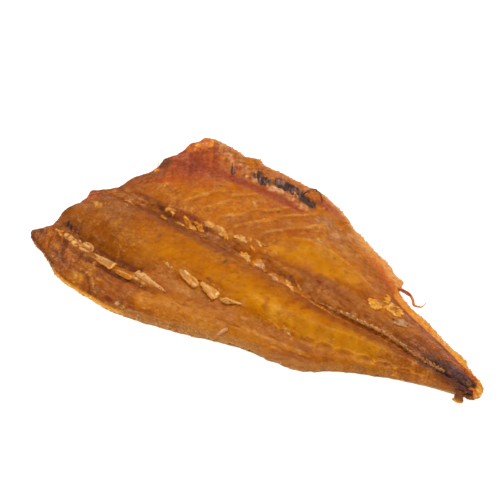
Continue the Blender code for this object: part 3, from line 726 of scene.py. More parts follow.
def upper_colour(x, y, sharp):
    """Colour of the upper flap: golden muscle by the seam, a red belly flap, orange clear rims."""
    broad, fine = rough(x, y, 8, 50), rough(x, y, 1.9, 51)
    wx, wy = wavering(x, y, 0.9, 5, 53)
    colour = plain((190, 106, 10), x)
    muscle = near(wx, wy, [(-4, 12), (16, 16), (32, 12)], 13, 0.3)
    colour = lay(colour, BRIGHT_GOLD, muscle * (0.75 + 0.3 * broad))
    golden = near(wx, wy, [(-64, 24), (-40, 26), (-26, 30)], 12, 0.2)
    colour = lay(colour, (196, 110, 0), golden * 0.8)
    beside = near(wx, wy, [(-104, 2), (-40, 0), (0, -1), (40, -2), (80, -3), (112, -3)], 8, 0.2)
    beside = beside * (1 - 0.7 * near(x, y, [(-14, 0), (20, -2)], 14))
    colour = lay(colour, (158, 84, 30), beside * (0.8 + 0.3 * fine))
    tailward = ramp(66, 92, x) * near(wx, wy, [(60, 6), (86, 2), (112, -3)], 15, 0.6)
    colour = lay(colour, (168, 84, 10), tailward * 0.9)
    # the thin belly flap, red and darkest towards the head
    belly = patch(wx, wy, *RED_FLAP, 0.25, 52)
    colour = lay(colour, (172, 74, 20), belly)
    strands = fibres(x, y, -58, 12, 1.6, 57)
    colour = lay(colour, (146, 50, 12), 0.9 * patch(wx, wy, (-80, 38), (13, 9), -30, 0.5, 53))
    colour = lay(colour, (140, 52, 20), 0.7 * belly * smoothstep(0.05, 0.5, strands))
    colour = lay(colour, (198, 104, 46), 0.5 * belly * smoothstep(0.1, 0.5, -strands))
    band = near(wx, wy, [(-70, 42), (-52, 43), (-38, 44), (-24, 43.4), (-16, 44)], 6.5, 0.1)
    colour = lay(colour, (158, 58, 0), band * (1.0 + 0.4 * fine))
    flank = near(wx, wy, [(-50, 59), (-30, 61), (-12, 60), (6, 52)], 5, 0.5)
    colour = lay(colour, (186, 104, 54), flank * 0.8)
    colour = lay_spots(colour, wx, wy, UPPER_BROADS)
    # pale shreds of belly wall between the red flap and the rim
    wall = [(-78, 61), (-70, 58), (-58, 54.6), (-50, 51), (-40, 50.8), (-29, 52), (-15, 48.4)]
    shreds = near(wx, wy, wall, 6, 0.3)
    colour = lay(colour, (194, 122, 78), 0.85 * shreds)
    curl = 0.6 * rough(x, y, 2.0, 66) + 0.8 * fibres(x, y, -62, 5, 1.1, 58)
    colour = lay(colour, (224, 172, 118), 0.8 * shreds * smoothstep(0.05, 0.45, curl))
    colour = lay(colour, (148, 68, 30), 0.8 * shreds * smoothstep(0.05, 0.4, -curl))
    # what is left of the black belly lining
    stain = np.maximum(
        near(wx, wy, [(-49.4, 54.6), (-41.4, 51.2)], 4.2, 0.5),
        near(wx, wy, [(-37, 55.4), (-27, 55.2), (-19, 53.6), (-12, 51.6)], 3.8, 0.5),
    )
    colour = lay(colour, (78, 48, 44), 0.95 * stain * smoothstep(-0.3, 0.15, fibres(x, y, -56, 6, 1.0, 59)))
    # each rib gets a painted shadow line to one side, then a painted highlight along its ridge
    colour = lay_lines(colour, x - 1.0, y + 1.2, [(rib, 1.8, (166, 84, 10), 0.55) for rib in RIBS])
    colour = lay_lines(colour, x, y, [(rib, 1.3, (216, 146, 58), 0.6) for rib in RIBS])
    colour = lay_lines(colour, x + 0.3 * fine, y + 0.3 * fine, UPPER_LINES)
    colour = stringy(colour, x, y, UPPER_STRINGS)
    # the dark, streaky flesh at the tail
    colour = dark_tail(colour, x, y)
    return lay_spots(worked(colour, x, y, sharp, UPPER_SEED), x, y, UPPER_SPOTS)


# The clear rim of the upper flap near the tail ends inwards on this line.
CLEAR_LINE = [
    (54, 21), (60, 17), (70, 12.8), (80, 9.8), (90, 6.6), (98, 3.6), (104, 1), (110, -0.8), (116, -3.8),
]


def rim_colour(colour, x, y, rim, upper):
    """Translucent flesh at the thin rims, light and orange: partly its own colour, partly a painted glow of
    the light that comes through.
    """
    fine = rough(x, y, 1.6, 60)
    if upper:
        wide = 1.8 + 0.8 * fine + 3.4 * ramp(12, 26, x) * ramp(60, 52, x)
        clear = 1 - smoothstep(0.5, 1.25, rim / wide)
        inner = between(np.array((206, 144, 96.0)), np.array((214, 116, 50.0)), ramp(24, 38, x)[..., None])
        colour = lay(colour, inner, 0.75 * (1 - smoothstep(0.9, 2.0, rim / wide)))
        radial = 0.8 + 0.5 * fibres(x, y, 64, 4, 0.9, 67)
        # painted glow along the upper flap's thin rim
        clear = clear * (0.35 + 0.55 * ramp(-20, 20, x)) * ramp(60, 56, x)
        colour = lay(colour, (240, 172, 94), clear * radial)
        # the thin flap beyond the line, painted light orange with pale streaks: partly a painted glow
        beyond = smoothstep(-0.2, 1.0, y - through(CLEAR_LINE, x)) * ramp(55, 57, x)
        colour = lay(colour, (228, 140, 48), beyond * ramp(118, 112, x))
        streaks = smoothstep(-0.3, 0.4, fibres(x, y, -64, 4, 1.1, 63) + 0.5 * rough(x, y, 3, 68))
        colour = lay(colour, (240, 172, 80), 0.8 * beyond * streaks * ramp(98, 90, x))
        colour = lay(colour, (240, 172, 62), beyond * ramp(88, 96, x) * (0.7 + 0.6 * fine))
        # the tail tip painted light orange-yellow, partly as a painted glow
        tip = ramp(115.4, 117.4, x + 0.25 * (y + 7))
        colour = lay(colour, (246, 180, 78), tip * (0.85 + 0.3 * fine))
    else:
        wall = (1 - smoothstep(1.2, 3.6, rim)) * ramp(-60, -40, x)
        colour = lay(colour, (194, 134, 78), 0.75 * wall * ramp(84, 44, x))
        colour = lay(colour, (150, 90, 50), 0.5 * wall * smoothstep(0, 0.5, fibres(x, y, 20, 6, 0.9, 64)))
        # painted glow along the lower rim's thin edge
        bright = (1 - smoothstep(0.35, 1.1 + 0.4 * fine, rim)) * ramp(-97, -88, x) * ramp(-38, -50, x)
        colour = lay(colour, (246, 176, 70), bright)
        # the lower tail tip painted light orange, partly as a painted glow
        tip = ramp(116.4, 117.6, x)
        colour = lay(colour, (240, 168, 70), tip)
    return colour


def raised(x, y, lines, margin, pale_from, up, down):
    """Height of a set of lines: those whose tone adds up to more than pale_from stand up, and the others are
    sunken."""
    return sum(
        (up if sum(tone) > pale_from else -down) * share * near(x, y, points, width + margin)
        for points, width, tone, share in lines
    )


def relief(x, y, rim, end, sharp, upper):
    """Fine height of the flesh over its plain form, in millimetres."""
    calm = smoothstep(0, 2, np.minimum(rim, end))
    seed, string_seed = (UPPER_SEED, UPPER_STRINGS) if upper else (LOWER_SEED, LOWER_STRINGS)
    height = 0.2 * rough(x, y, 7, 70) + 0.16 * rough(x, y, 2.6, 71)
    height = (height - 0.16 * creases(x, y, 5.2, seed + 31, 0.3)) * calm
    height = height - 0.14 * calm * sharp * creases(x, y, 2.7, seed + 35, 0.3)
    wx, wy = wavering(x, y, 0.6, 5, 72)
    if upper:
        height = height + 0.35 * sum(near(wx, wy, rib, 1.8) for rib in RIBS)
        height = height + raised(wx, wy, UPPER_LINES, 0.7, 400, 0.5, 0.4)
        height = height - 0.8 * near(wx, wy, [(-82, -1), (-70, 0), (-60, 0.6), (-50, 0), (-44, 1)], 2.6, 0.2)
        height = height + 0.3 * patch(wx, wy, *RED_FLAP, 0.25, 52) * fibres(x, y, -58, 12, 1.9, 57) * calm
        wall = near(wx, wy, [(-80, 60), (-60, 54), (-20, 52)], 8, 0.4)
        height = height + 0.3 * wall * fibres(x, y, -60, 7, 1.4, 58) * calm
        beyond = smoothstep(-0.4, 1.2, y - through(CLEAR_LINE, x)) * ramp(54, 58, x) * ramp(112, 104, x)
        height = height - 0.7 * beyond + 0.25 * beyond * fibres(x, y, -64, 6, 1.3, 63)
    else:
        valley = near(wx, wy, [(-106, -36.5), (-95, -37), (-80, -39), (-62, -40.4), (-46, -39.5)], 4.2, 0.3)
        under = near(wx, wy, [(-104, -44), (-92, -47), (-78, -48), (-60, -49), (-40, -48)], 2.0, 0.1)
        height = height - 1.5 * valley * ramp(-40, -60, x) - 0.7 * under
        height = height + raised(wx, wy, LOWER_LINES, 0.5, 380, 0.16, 0.26)
        shine, shade = scallops(x, y)
        fuzz = (1 - smoothstep(1, 4, rim)) * smoothstep(0.2, 0.8, rim)
        height = height + 0.16 * shine - 0.3 * shade + 0.3 * fuzz * rough(x, y, 1.3, 77)
    seam_side = near(x, y, [(-106, -3), (-40, -3), (0, -5), (40, -8), (80, -8.4), (112, -9)], 9, 0.4)
    height = height + seam_side * (0.4 * rough(x, y, 3.4, 78) + 0.2 * rough(x, y, 1.5, 79))
    band, streak = strings(x, y, string_seed, 0.3)
    return height - 0.5 * band * streak


def flesh_top(flap, along, out):
    """Points of the top of one flap, and their colours with how crisp the flesh is there."""
    upper = flap is UPPER
    x, y, _, top, nose = flap_form(flap, along, out)
    rim, end = rim_distance(flap, along, out)
    sharp = crispness(x, y, upper)
    top = top + relief(x, y, rim, end, sharp, upper) * nose
    colour = rim_colour((upper_colour if upper else lower_colour)(x, y, sharp), x, y, rim, upper)
    return np.stack([x, y, top], -1), np.concatenate([colour * SMOKED, sharp[..., None]], -1)


def crowded(cells, both_ends):
    """Shares from 0 to 1 whose steps are narrower towards the end, or towards both ends."""
    even = np.linspace(0, 1, cells + 1)
    if both_ends:
        return even - CROWDING * np.sin(2 * math.pi * even) / (2 * math.pi)
    return even + CROWDING * np.sin(math.pi * even) / math.pi


def linear(colour):
    """Screen colour from 0 to 255 as linear light."""
    share = np.clip(np.asarray(colour, float) / 255, 0, 1)
    return np.where(share <= 0.04045, share / 12.92, ((share + 0.055) / 1.055) ** 2.4)


def paint_mesh(mesh, name, colour):
    """Stores one linear colour for each point of the mesh, with how crisp its surface is as alpha."""
    layer = mesh.color_attributes.new(name, "FLOAT_COLOR", "POINT")
    crisp = colour[:, 3:] if colour.shape[1] == 4 else np.ones((len(colour), 1))
    rgba = np.concatenate([linear(colour[:, :3]), crisp], 1)
    layer.data.foreach_set("color", rgba.ravel())


def new_piece(name, points, faces, colour, finish, slot, *nodes):
    """A piece from points in millimetres, its faces and its colours, riding on the body."""
    mesh = bpy.data.meshes.new(name)
    mesh.from_pydata((np.asarray(points) * MM).tolist(), [], faces)
    mesh.shade_smooth()
    paint_mesh(mesh, "tone", np.asarray(colour).reshape(len(points), -1))
    piece = bpy.data.objects.new(name, mesh)
    bpy.context.scene.collection.objects.link(piece)
    piece.data.materials.append(finish)
    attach(piece, "root")
    if nodes:
        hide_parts(*nodes)


def quads(index):
    """Quads of a grid of point numbers."""
    corners = (index[:-1, :-1], index[1:, :-1], index[1:, 1:], index[:-1, 1:])
    return np.stack(corners, axis=-1).reshape(-1, 4).tolist()


along_shares = crowded(ALONG_CELLS, True)[:, None]
out_shares = crowded(ACROSS_CELLS, False)[None, :]
along_grid, out_grid = np.broadcast_arrays(along_shares, out_shares)
lower_top, lower_tone = flesh_top(LOWER, along_grid, out_grid)
upper_top, upper_tone = flesh_top(UPPER, along_grid, out_grid)
top_points = np.concatenate([lower_top[:, :0:-1], upper_top], 1)
top_tones = np.concatenate([lower_tone[:, :0:-1], upper_tone], 1)

# The flesh's underside is coarse, because the skin covers it: a few lines of points across each flap.
UNDER_OUT = np.array([1, 0.99, 0.975, 0.95, 0.85, 0.5, 0.0])
SKIN_THICKNESS = 0.7


def under_points(flap, along, out):
    """Points of the flesh's underside, half a skin's thickness inside the body's."""
    x, y, under, _, nose = flap_form(flap, along, out)
    return np.stack([x, y, under + 0.5 * SKIN_THICKNESS * nose], -1)


under_grid = np.concatenate(
    [
        under_points(LOWER, *np.broadcast_arrays(along_shares, UNDER_OUT[None, :])),
        under_points(UPPER, *np.broadcast_arrays(along_shares, UNDER_OUT[None, ::-1]))[:, 1:],
    ],
    1,
)
rows, columns = top_points.shape[:2]
top_index = np.arange(rows * columns).reshape(rows, columns)
inner = under_grid[1:-1, 1:-1]
under_index = rows * columns + np.arange(inner[..., 0].size).reshape(inner.shape[:2])
under_index = np.concatenate([top_index[1:-1, :1], under_index, top_index[1:-1, -1:]], 1)
fine_columns = [round(i) for i in np.interp(
    np.concatenate([-UNDER_OUT, UNDER_OUT[-2::-1]]),
    np.concatenate([-out_shares[0, ::-1], out_shares[0, 1:]]),
    np.arange(columns),
)]
end_faces = []
for end_row, ring, inside_out in ((0, under_index[0], False), (rows - 1, under_index[-1], True)):
    for k, (start, stop) in enumerate(zip(fine_columns, fine_columns[1:])):
        fan = [(ring[k], top_index[end_row, j], top_index[end_row, j + 1]) for j in range(start, stop)]
        fan.append((ring[k], top_index[end_row, stop], ring[k + 1]))
        end_faces += [face[::-1] if inside_out else face for face in fan]
# drop the slivers where a ring point is itself the outline's
end_faces = [tuple(int(i) for i in face) for face in end_faces if len(set(face)) == 3]
flesh_points = np.concatenate([top_points.reshape(-1, 3), inner.reshape(-1, 3)])
flesh_tones = np.concatenate([top_tones.reshape(-1, 4), np.ones((inner[..., 0].size, 4))])
flesh_faces = quads(top_index) + [face[::-1] for face in quads(under_index)] + end_faces

OILY = (1.0, 0.62, 0.24, 1.0)  # tint of the shine: smoked oil is amber


def add_node(tree, kind, into=(), **values):
    """Outputs of a new shader node. A value named like one of its inputs goes there, and any other is a
    setting of its own; into has inputs by their numbers. A value that is a socket is linked."""
    new = tree.nodes.new("ShaderNode" + kind)
    for key, value in (*values.items(), *dict(into).items()):
        slot = key if key in into else key.replace("_", " ")
        if key not in into and slot not in new.inputs:
            setattr(new, key, value)
        elif isinstance(value, bpy.types.NodeSocket):
            tree.links.new(value, new.inputs[slot])
        else:
            new.inputs[slot].default_value = value
    return new.outputs


def add_range(tree, value, start, full, low, high):
    """The value's way from start to full, as a number from low to high."""
    ends = {"From_Min": start, "From_Max": full, "To_Min": low, "To_Max": high}
    return add_node(tree, "MapRange", Value=value, **ends)["Result"]


FINE_GRAIN, BROAD_GRAIN = (1, 4.0, 0.65), (0.22, 3.0, 0.55)  # cells in one grain, detail, roughness
GRAIN_GAIN, GRAIN_BASE = (0.6, 0.9, 1.5), (0.7, 0.55, 0.25)  # how the grain varies red, green and blue
DASH_TURN, DASH_SIZE = 58, (1.9, 0.5, 1.2)  # degrees to the fish, and millimetres
# pale dashes are painted glints and dark ones deepen the orange: where each starts, where it is full, its
# gain
GLINT_DASH, DARK_DASH = (0.57, 0.68, (1.4, 1.8, 3.4)), (0.46, 0.34, (0.9, 0.74, 0.4))
LIGHT_REACH = (1.0, 0.35, 0.08), 1.6  # how far red, green and blue light gets in, times millimetres


def soft_finish(name, grain, gloss, specular, bump, glow=0.0, dashes=0.0):
    """Material of something that grew: its own tone, varied by a grain of that many millimetres; roughness
    between the two values of gloss; a bump of that many millimetres; light comes through by a share glow.
    With dashes, fine pale dashes of painted glint and dark orange dashes cross it by that share, and its
    shine follows how crisp it is."""
    finish = bpy.data.materials.new(name)
    finish.use_nodes = True
    tree = finish.node_tree
    shader = tree.nodes["Principled BSDF"].inputs
    place = add_node(tree, "TexCoord")["Object"]
    tone = add_node(tree, "Attribute", attribute_name="tone")
    colour, crisp = tone["Color"], tone["Alpha"]
    fine, broad = (
        add_node(tree, "TexNoise", Vector=place, Scale=cells / (grain * MM), Detail=detail, Roughness=fall)
        for cells, detail, fall in (FINE_GRAIN, BROAD_GRAIN)
    )
    fine, broad = fine["Fac"], broad["Fac"]
    gain = add_node(tree, "VectorMath", {0: fine, 1: GRAIN_GAIN, 2: GRAIN_BASE}, operation="MULTIPLY_ADD")
    varied = add_node(tree, "VectorMath", {0: colour, 1: gain["Vector"]}, operation="MULTIPLY")["Vector"]
    colour = add_node(tree, "Mix", {0: crisp, 6: colour, 7: varied}, data_type="RGBA")[2]
    if dashes:
        turn, scale = (0, 0, math.radians(DASH_TURN)), [1 / (size * MM) for size in DASH_SIZE]
        slanted = add_node(tree, "Mapping", Vector=place, Rotation=turn, Scale=scale)
        dash = add_node(tree, "TexNoise", Vector=slanted["Vector"], Scale=1.0, Detail=3.0)["Fac"]
        # pale dashes brighten the colour as painted glints; dark dashes deepen its orange
        for start, full, gain in (GLINT_DASH, DARK_DASH):
            share = add_range(tree, dash, start, full, 0.0, dashes)
            share = add_node(tree, "Math", {0: share, 1: crisp}, operation="MULTIPLY")["Value"]
            mix = {0: share, 6: colour, 7: (*gain, 1)}
            colour = add_node(tree, "Mix", mix, data_type="RGBA", blend_type="MULTIPLY")[2]
        wet = add_node(tree, "Math", {0: crisp, 1: specular}, operation="MULTIPLY")["Value"]
        tree.links.new(wet, shader["Specular IOR Level"])
    height = add_node(tree, "Math", {0: broad, 1: 2.0, 2: fine}, operation="MULTIPLY_ADD")["Value"]
    dent = add_node(tree, "Bump", Distance=bump * MM, Height=height, Strength=crisp)
    tree.links.new(colour, shader["Base Color"])
    tree.links.new(add_range(tree, broad, 0.35, 0.65, *gloss), shader["Roughness"])
    tree.links.new(dent["Normal"], shader["Normal"])
    shader["Specular IOR Level"].default_value = specular
    shader["Specular Tint"].default_value = OILY
    if glow:
        shader["Subsurface Weight"].default_value = glow
        shader["Subsurface Radius"].default_value = LIGHT_REACH[0]
        shader["Subsurface Scale"].default_value = LIGHT_REACH[1] * MM
    return finish


flesh_finish = soft_finish("smoked flesh", 0.7, (0.2, 0.42), 0.3, 0.2, glow=0.22, dashes=0.8)
new_piece("flesh", flesh_points, flesh_faces, flesh_tones, flesh_finish, "flesh", "fish")

# ---------------------------------------------------------------------------------------------------------
# The skin. Under the flesh lies the fish's own thin skin, smoked to bronze: dark over the back, where wavy
# bars cross it, and golden towards the belly at both rims. It is grown to the flesh.

SKIN_ALONG, SKIN_ACROSS = 210, 30
SCALE_HEIGHT, SCALE_PITCH = 0.06, 2.4
BRONZE, BACK, BAR, BELLY = (150, 92, 34), (92, 66, 44), (50, 38, 34), (206, 150, 70)


def closed_sheet(top, under):
    """Points and faces of a sheet whose underside shares the outline of its top."""
    size = top.shape[:2]
    top_index = np.arange(size[0] * size[1]).reshape(size)
    under_index = top_index.copy()
    under_index[1:-1, 1:-1] = top_index[-1, -1] + 1 + np.arange((size[0] - 2) * (size[1] - 2)).reshape(
        size[0] - 2, size[1] - 2)
    points = np.concatenate([top.reshape(-1, 3), under[1:-1, 1:-1].reshape(-1, 3)])
    return points, quads(top_index) + [face[::-1] for face in quads(under_index)]


def skin_faces(flap, along, out):
    """Inner and outer face of the skin: the outer one is the body's underside, with low scales where it is
    off the board, and the inner one lies in the flesh."""
    x, y, under, _, nose = flap_form(flap, along, out)
    scales = SCALE_HEIGHT * np.sin(SCALE_PITCH * x + 2 * mottle(x, y, 6, 81)) * np.sin(SCALE_PITCH * y) * nose
    outer = under + scales * (under > 0.1)
    return np.stack([x, y, under + SKIN_THICKNESS * nose], -1), np.stack([x, y, outer], -1)


def skin_colour(x, y):
    """Bronze, paler towards the rims; dark wavy bars cross the back on both sides of the seam."""
    seam = through(SEAM, x)
    width = np.where(y < seam, seam - through(LOWER_EDGE, x), through(UPPER_EDGE, x) - seam)
    away = np.maximum(np.abs(y - seam), 50 * np.abs(y - seam) / np.maximum(width, 4) - 8)
    colour = plain(BRONZE, x)
    colour = lay(colour, BELLY, smoothstep(24, 52, away + 6 * rough(x, y, 14, 82)))
    colour = lay(colour, BACK, 1 - smoothstep(10, 27, away))
    wave = x + 2.6 * np.sin(away / 4.2) + 5 * rough(x, y, 24, 83)
    bars = smoothstep(0.05, 0.55, np.sin(2 * math.pi * wave / 11.5)) * (1 - smoothstep(15, 25, away))
    colour = lay(colour, BAR, 0.85 * bars)
    return colour * (1 + 0.1 * rough(x, y, 5, 84))[..., None]


skin_out = np.concatenate([-crowded(SKIN_ACROSS, False)[::-1], crowded(SKIN_ACROSS, False)[1:]])
skin_along = crowded(SKIN_ALONG, True)[:, None]
lower_skin = skin_faces(LOWER, *np.broadcast_arrays(skin_along, -skin_out[None, : SKIN_ACROSS + 1]))
upper_skin = skin_faces(UPPER, *np.broadcast_arrays(skin_along, skin_out[None, SKIN_ACROSS + 1 :]))
skin_inner, skin_outer = (np.concatenate([a, b], 1) for a, b in zip(lower_skin, upper_skin))
skin_points, skin_quads = closed_sheet(skin_inner, skin_outer)
skin_finish = soft_finish("smoked skin", 1.6, (0.28, 0.5), 0.4, 0.12)
skin_tones = skin_colour(skin_points[:, 0], skin_points[:, 1])
new_piece("skin", skin_points, skin_quads, skin_tones, skin_finish, "skin", "fish")

# ---------------------------------------------------------------------------------------------------------
# The neck bones and the cut ribs. Splitting the fish bared a row of bones in the valley of the lower flap,
# and cut four ribs off in the muscle. They are dry, pale amber, knobbly, and half bedded in the flesh.

RASTER_STEP, RASTER_LOW, RASTER_SIZE = 0.8, (-124.0, -70.0), (310, 176)
FILL_PASSES = 8


def height_raster():
    """Mean height of the flesh's points round each place of a raster. Empty places take their neighbours'."""
    i, j = np.rint((top_points[..., :2] - RASTER_LOW) / RASTER_STEP).astype(int).reshape(-1, 2).T
    cell = i * RASTER_SIZE[1] + j
    cells = RASTER_SIZE[0] * RASTER_SIZE[1]
    total = np.bincount(cell, top_points[..., 2].ravel(), cells).reshape(RASTER_SIZE)
    count = np.bincount(cell, None, cells).reshape(RASTER_SIZE).astype(float)
    for _ in range(FILL_PASSES):
        wide = [sum(np.roll(t, s, axis) for s in (1, -1) for axis in (0, 1)) for t in (total, count)]
        total, count = np.where(count > 0, total, wide[0]), np.where(count > 0, count, wide[1])
    return total / np.maximum(count, 1)


raster = height_raster()


def flesh_height(x, y):
    """Height of the flesh at a place, between the four nearest places of the raster."""
    u, v = ((np.asarray(p) - low) / RASTER_STEP for p, low in zip((x, y), RASTER_LOW))
    i = np.clip(np.floor(u).astype(int), 0, RASTER_SIZE[0] - 2)
    j = np.clip(np.floor(v).astype(int), 0, RASTER_SIZE[1] - 2)
    s, t = u - i, v - j
    near_row = between(raster[i, j], raster[i + 1, j], s)
    return between(near_row, between(raster[i, j + 1], raster[i + 1, j + 1], s), t)


def closed_bar(rings):
    """Points and faces of a bar made of rings of points, with a pole in the middle of each end ring."""
    count, around = rings.shape[:2]
    index = np.arange(count * around).reshape(count, around)
    index = np.concatenate([index, index[:, :1]], 1)
    first, last = count * around, count * around + 1
    ends = [(first, int(a), int(b)) for a, b in zip(index[0], index[0, 1:])]
    ends += [(last, int(b), int(a)) for a, b in zip(index[-1], index[-1, 1:])]
    points = np.concatenate([rings.reshape(-1, 3), rings[0].mean(0)[None], rings[-1].mean(0)[None]])
    return points, quads(index) + ends


def heading(path):
    """Unit vectors along a path of points, from each point's neighbours."""
    ahead = np.gradient(path, axis=0)
    return ahead / np.linalg.norm(ahead, axis=1, keepdims=True)


def bar_rings(path, wide, high, around, twist, uneven, seed):
    """Rings round a path of points, with half widths and half heights along it: point(i, a) is
    path[i] + side * wide[i] cos a + up * high[i] sin a."""
    ahead = heading(path)
    side = np.cross(ahead, (0, 0, 1.0))
    side /= np.linalg.norm(side, axis=1, keepdims=True)
    up = np.cross(side, ahead)
    a = np.linspace(0, 2 * math.pi, around, endpoint=False)[None, :]
    run = np.concatenate([[0], np.cumsum(np.linalg.norm(np.diff(path, axis=0), axis=1))])[:, None]
    swell = 1 + uneven * rough(run + 0 * a, 3 * np.cos(a) + 2 * np.sin(a) + 0 * run, 1.4, seed)
    c = np.cos(a) * np.asarray(wide)[:, None] * swell
    s = np.sin(a) * np.asarray(high)[:, None] * swell
    turn = twist * run
    c, s = c * np.cos(turn) - s * np.sin(turn), c * np.sin(turn) + s * np.cos(turn)
    return path[:, None] + side[:, None] * c[..., None] + up[:, None] * s[..., None]


def with_poles(colour):
    """Colours of a bar's rings as one list, with those of its two poles."""
    return np.concatenate([colour.reshape(-1, 3), colour[0, :1], colour[-1, :1]])


BONE_CELLS, BONE_AROUND = 96, 56
BONE, BONE_HIGHLIGHT, BONE_AMBER = (212, 142, 72), (240, 188, 118), (200, 116, 30)
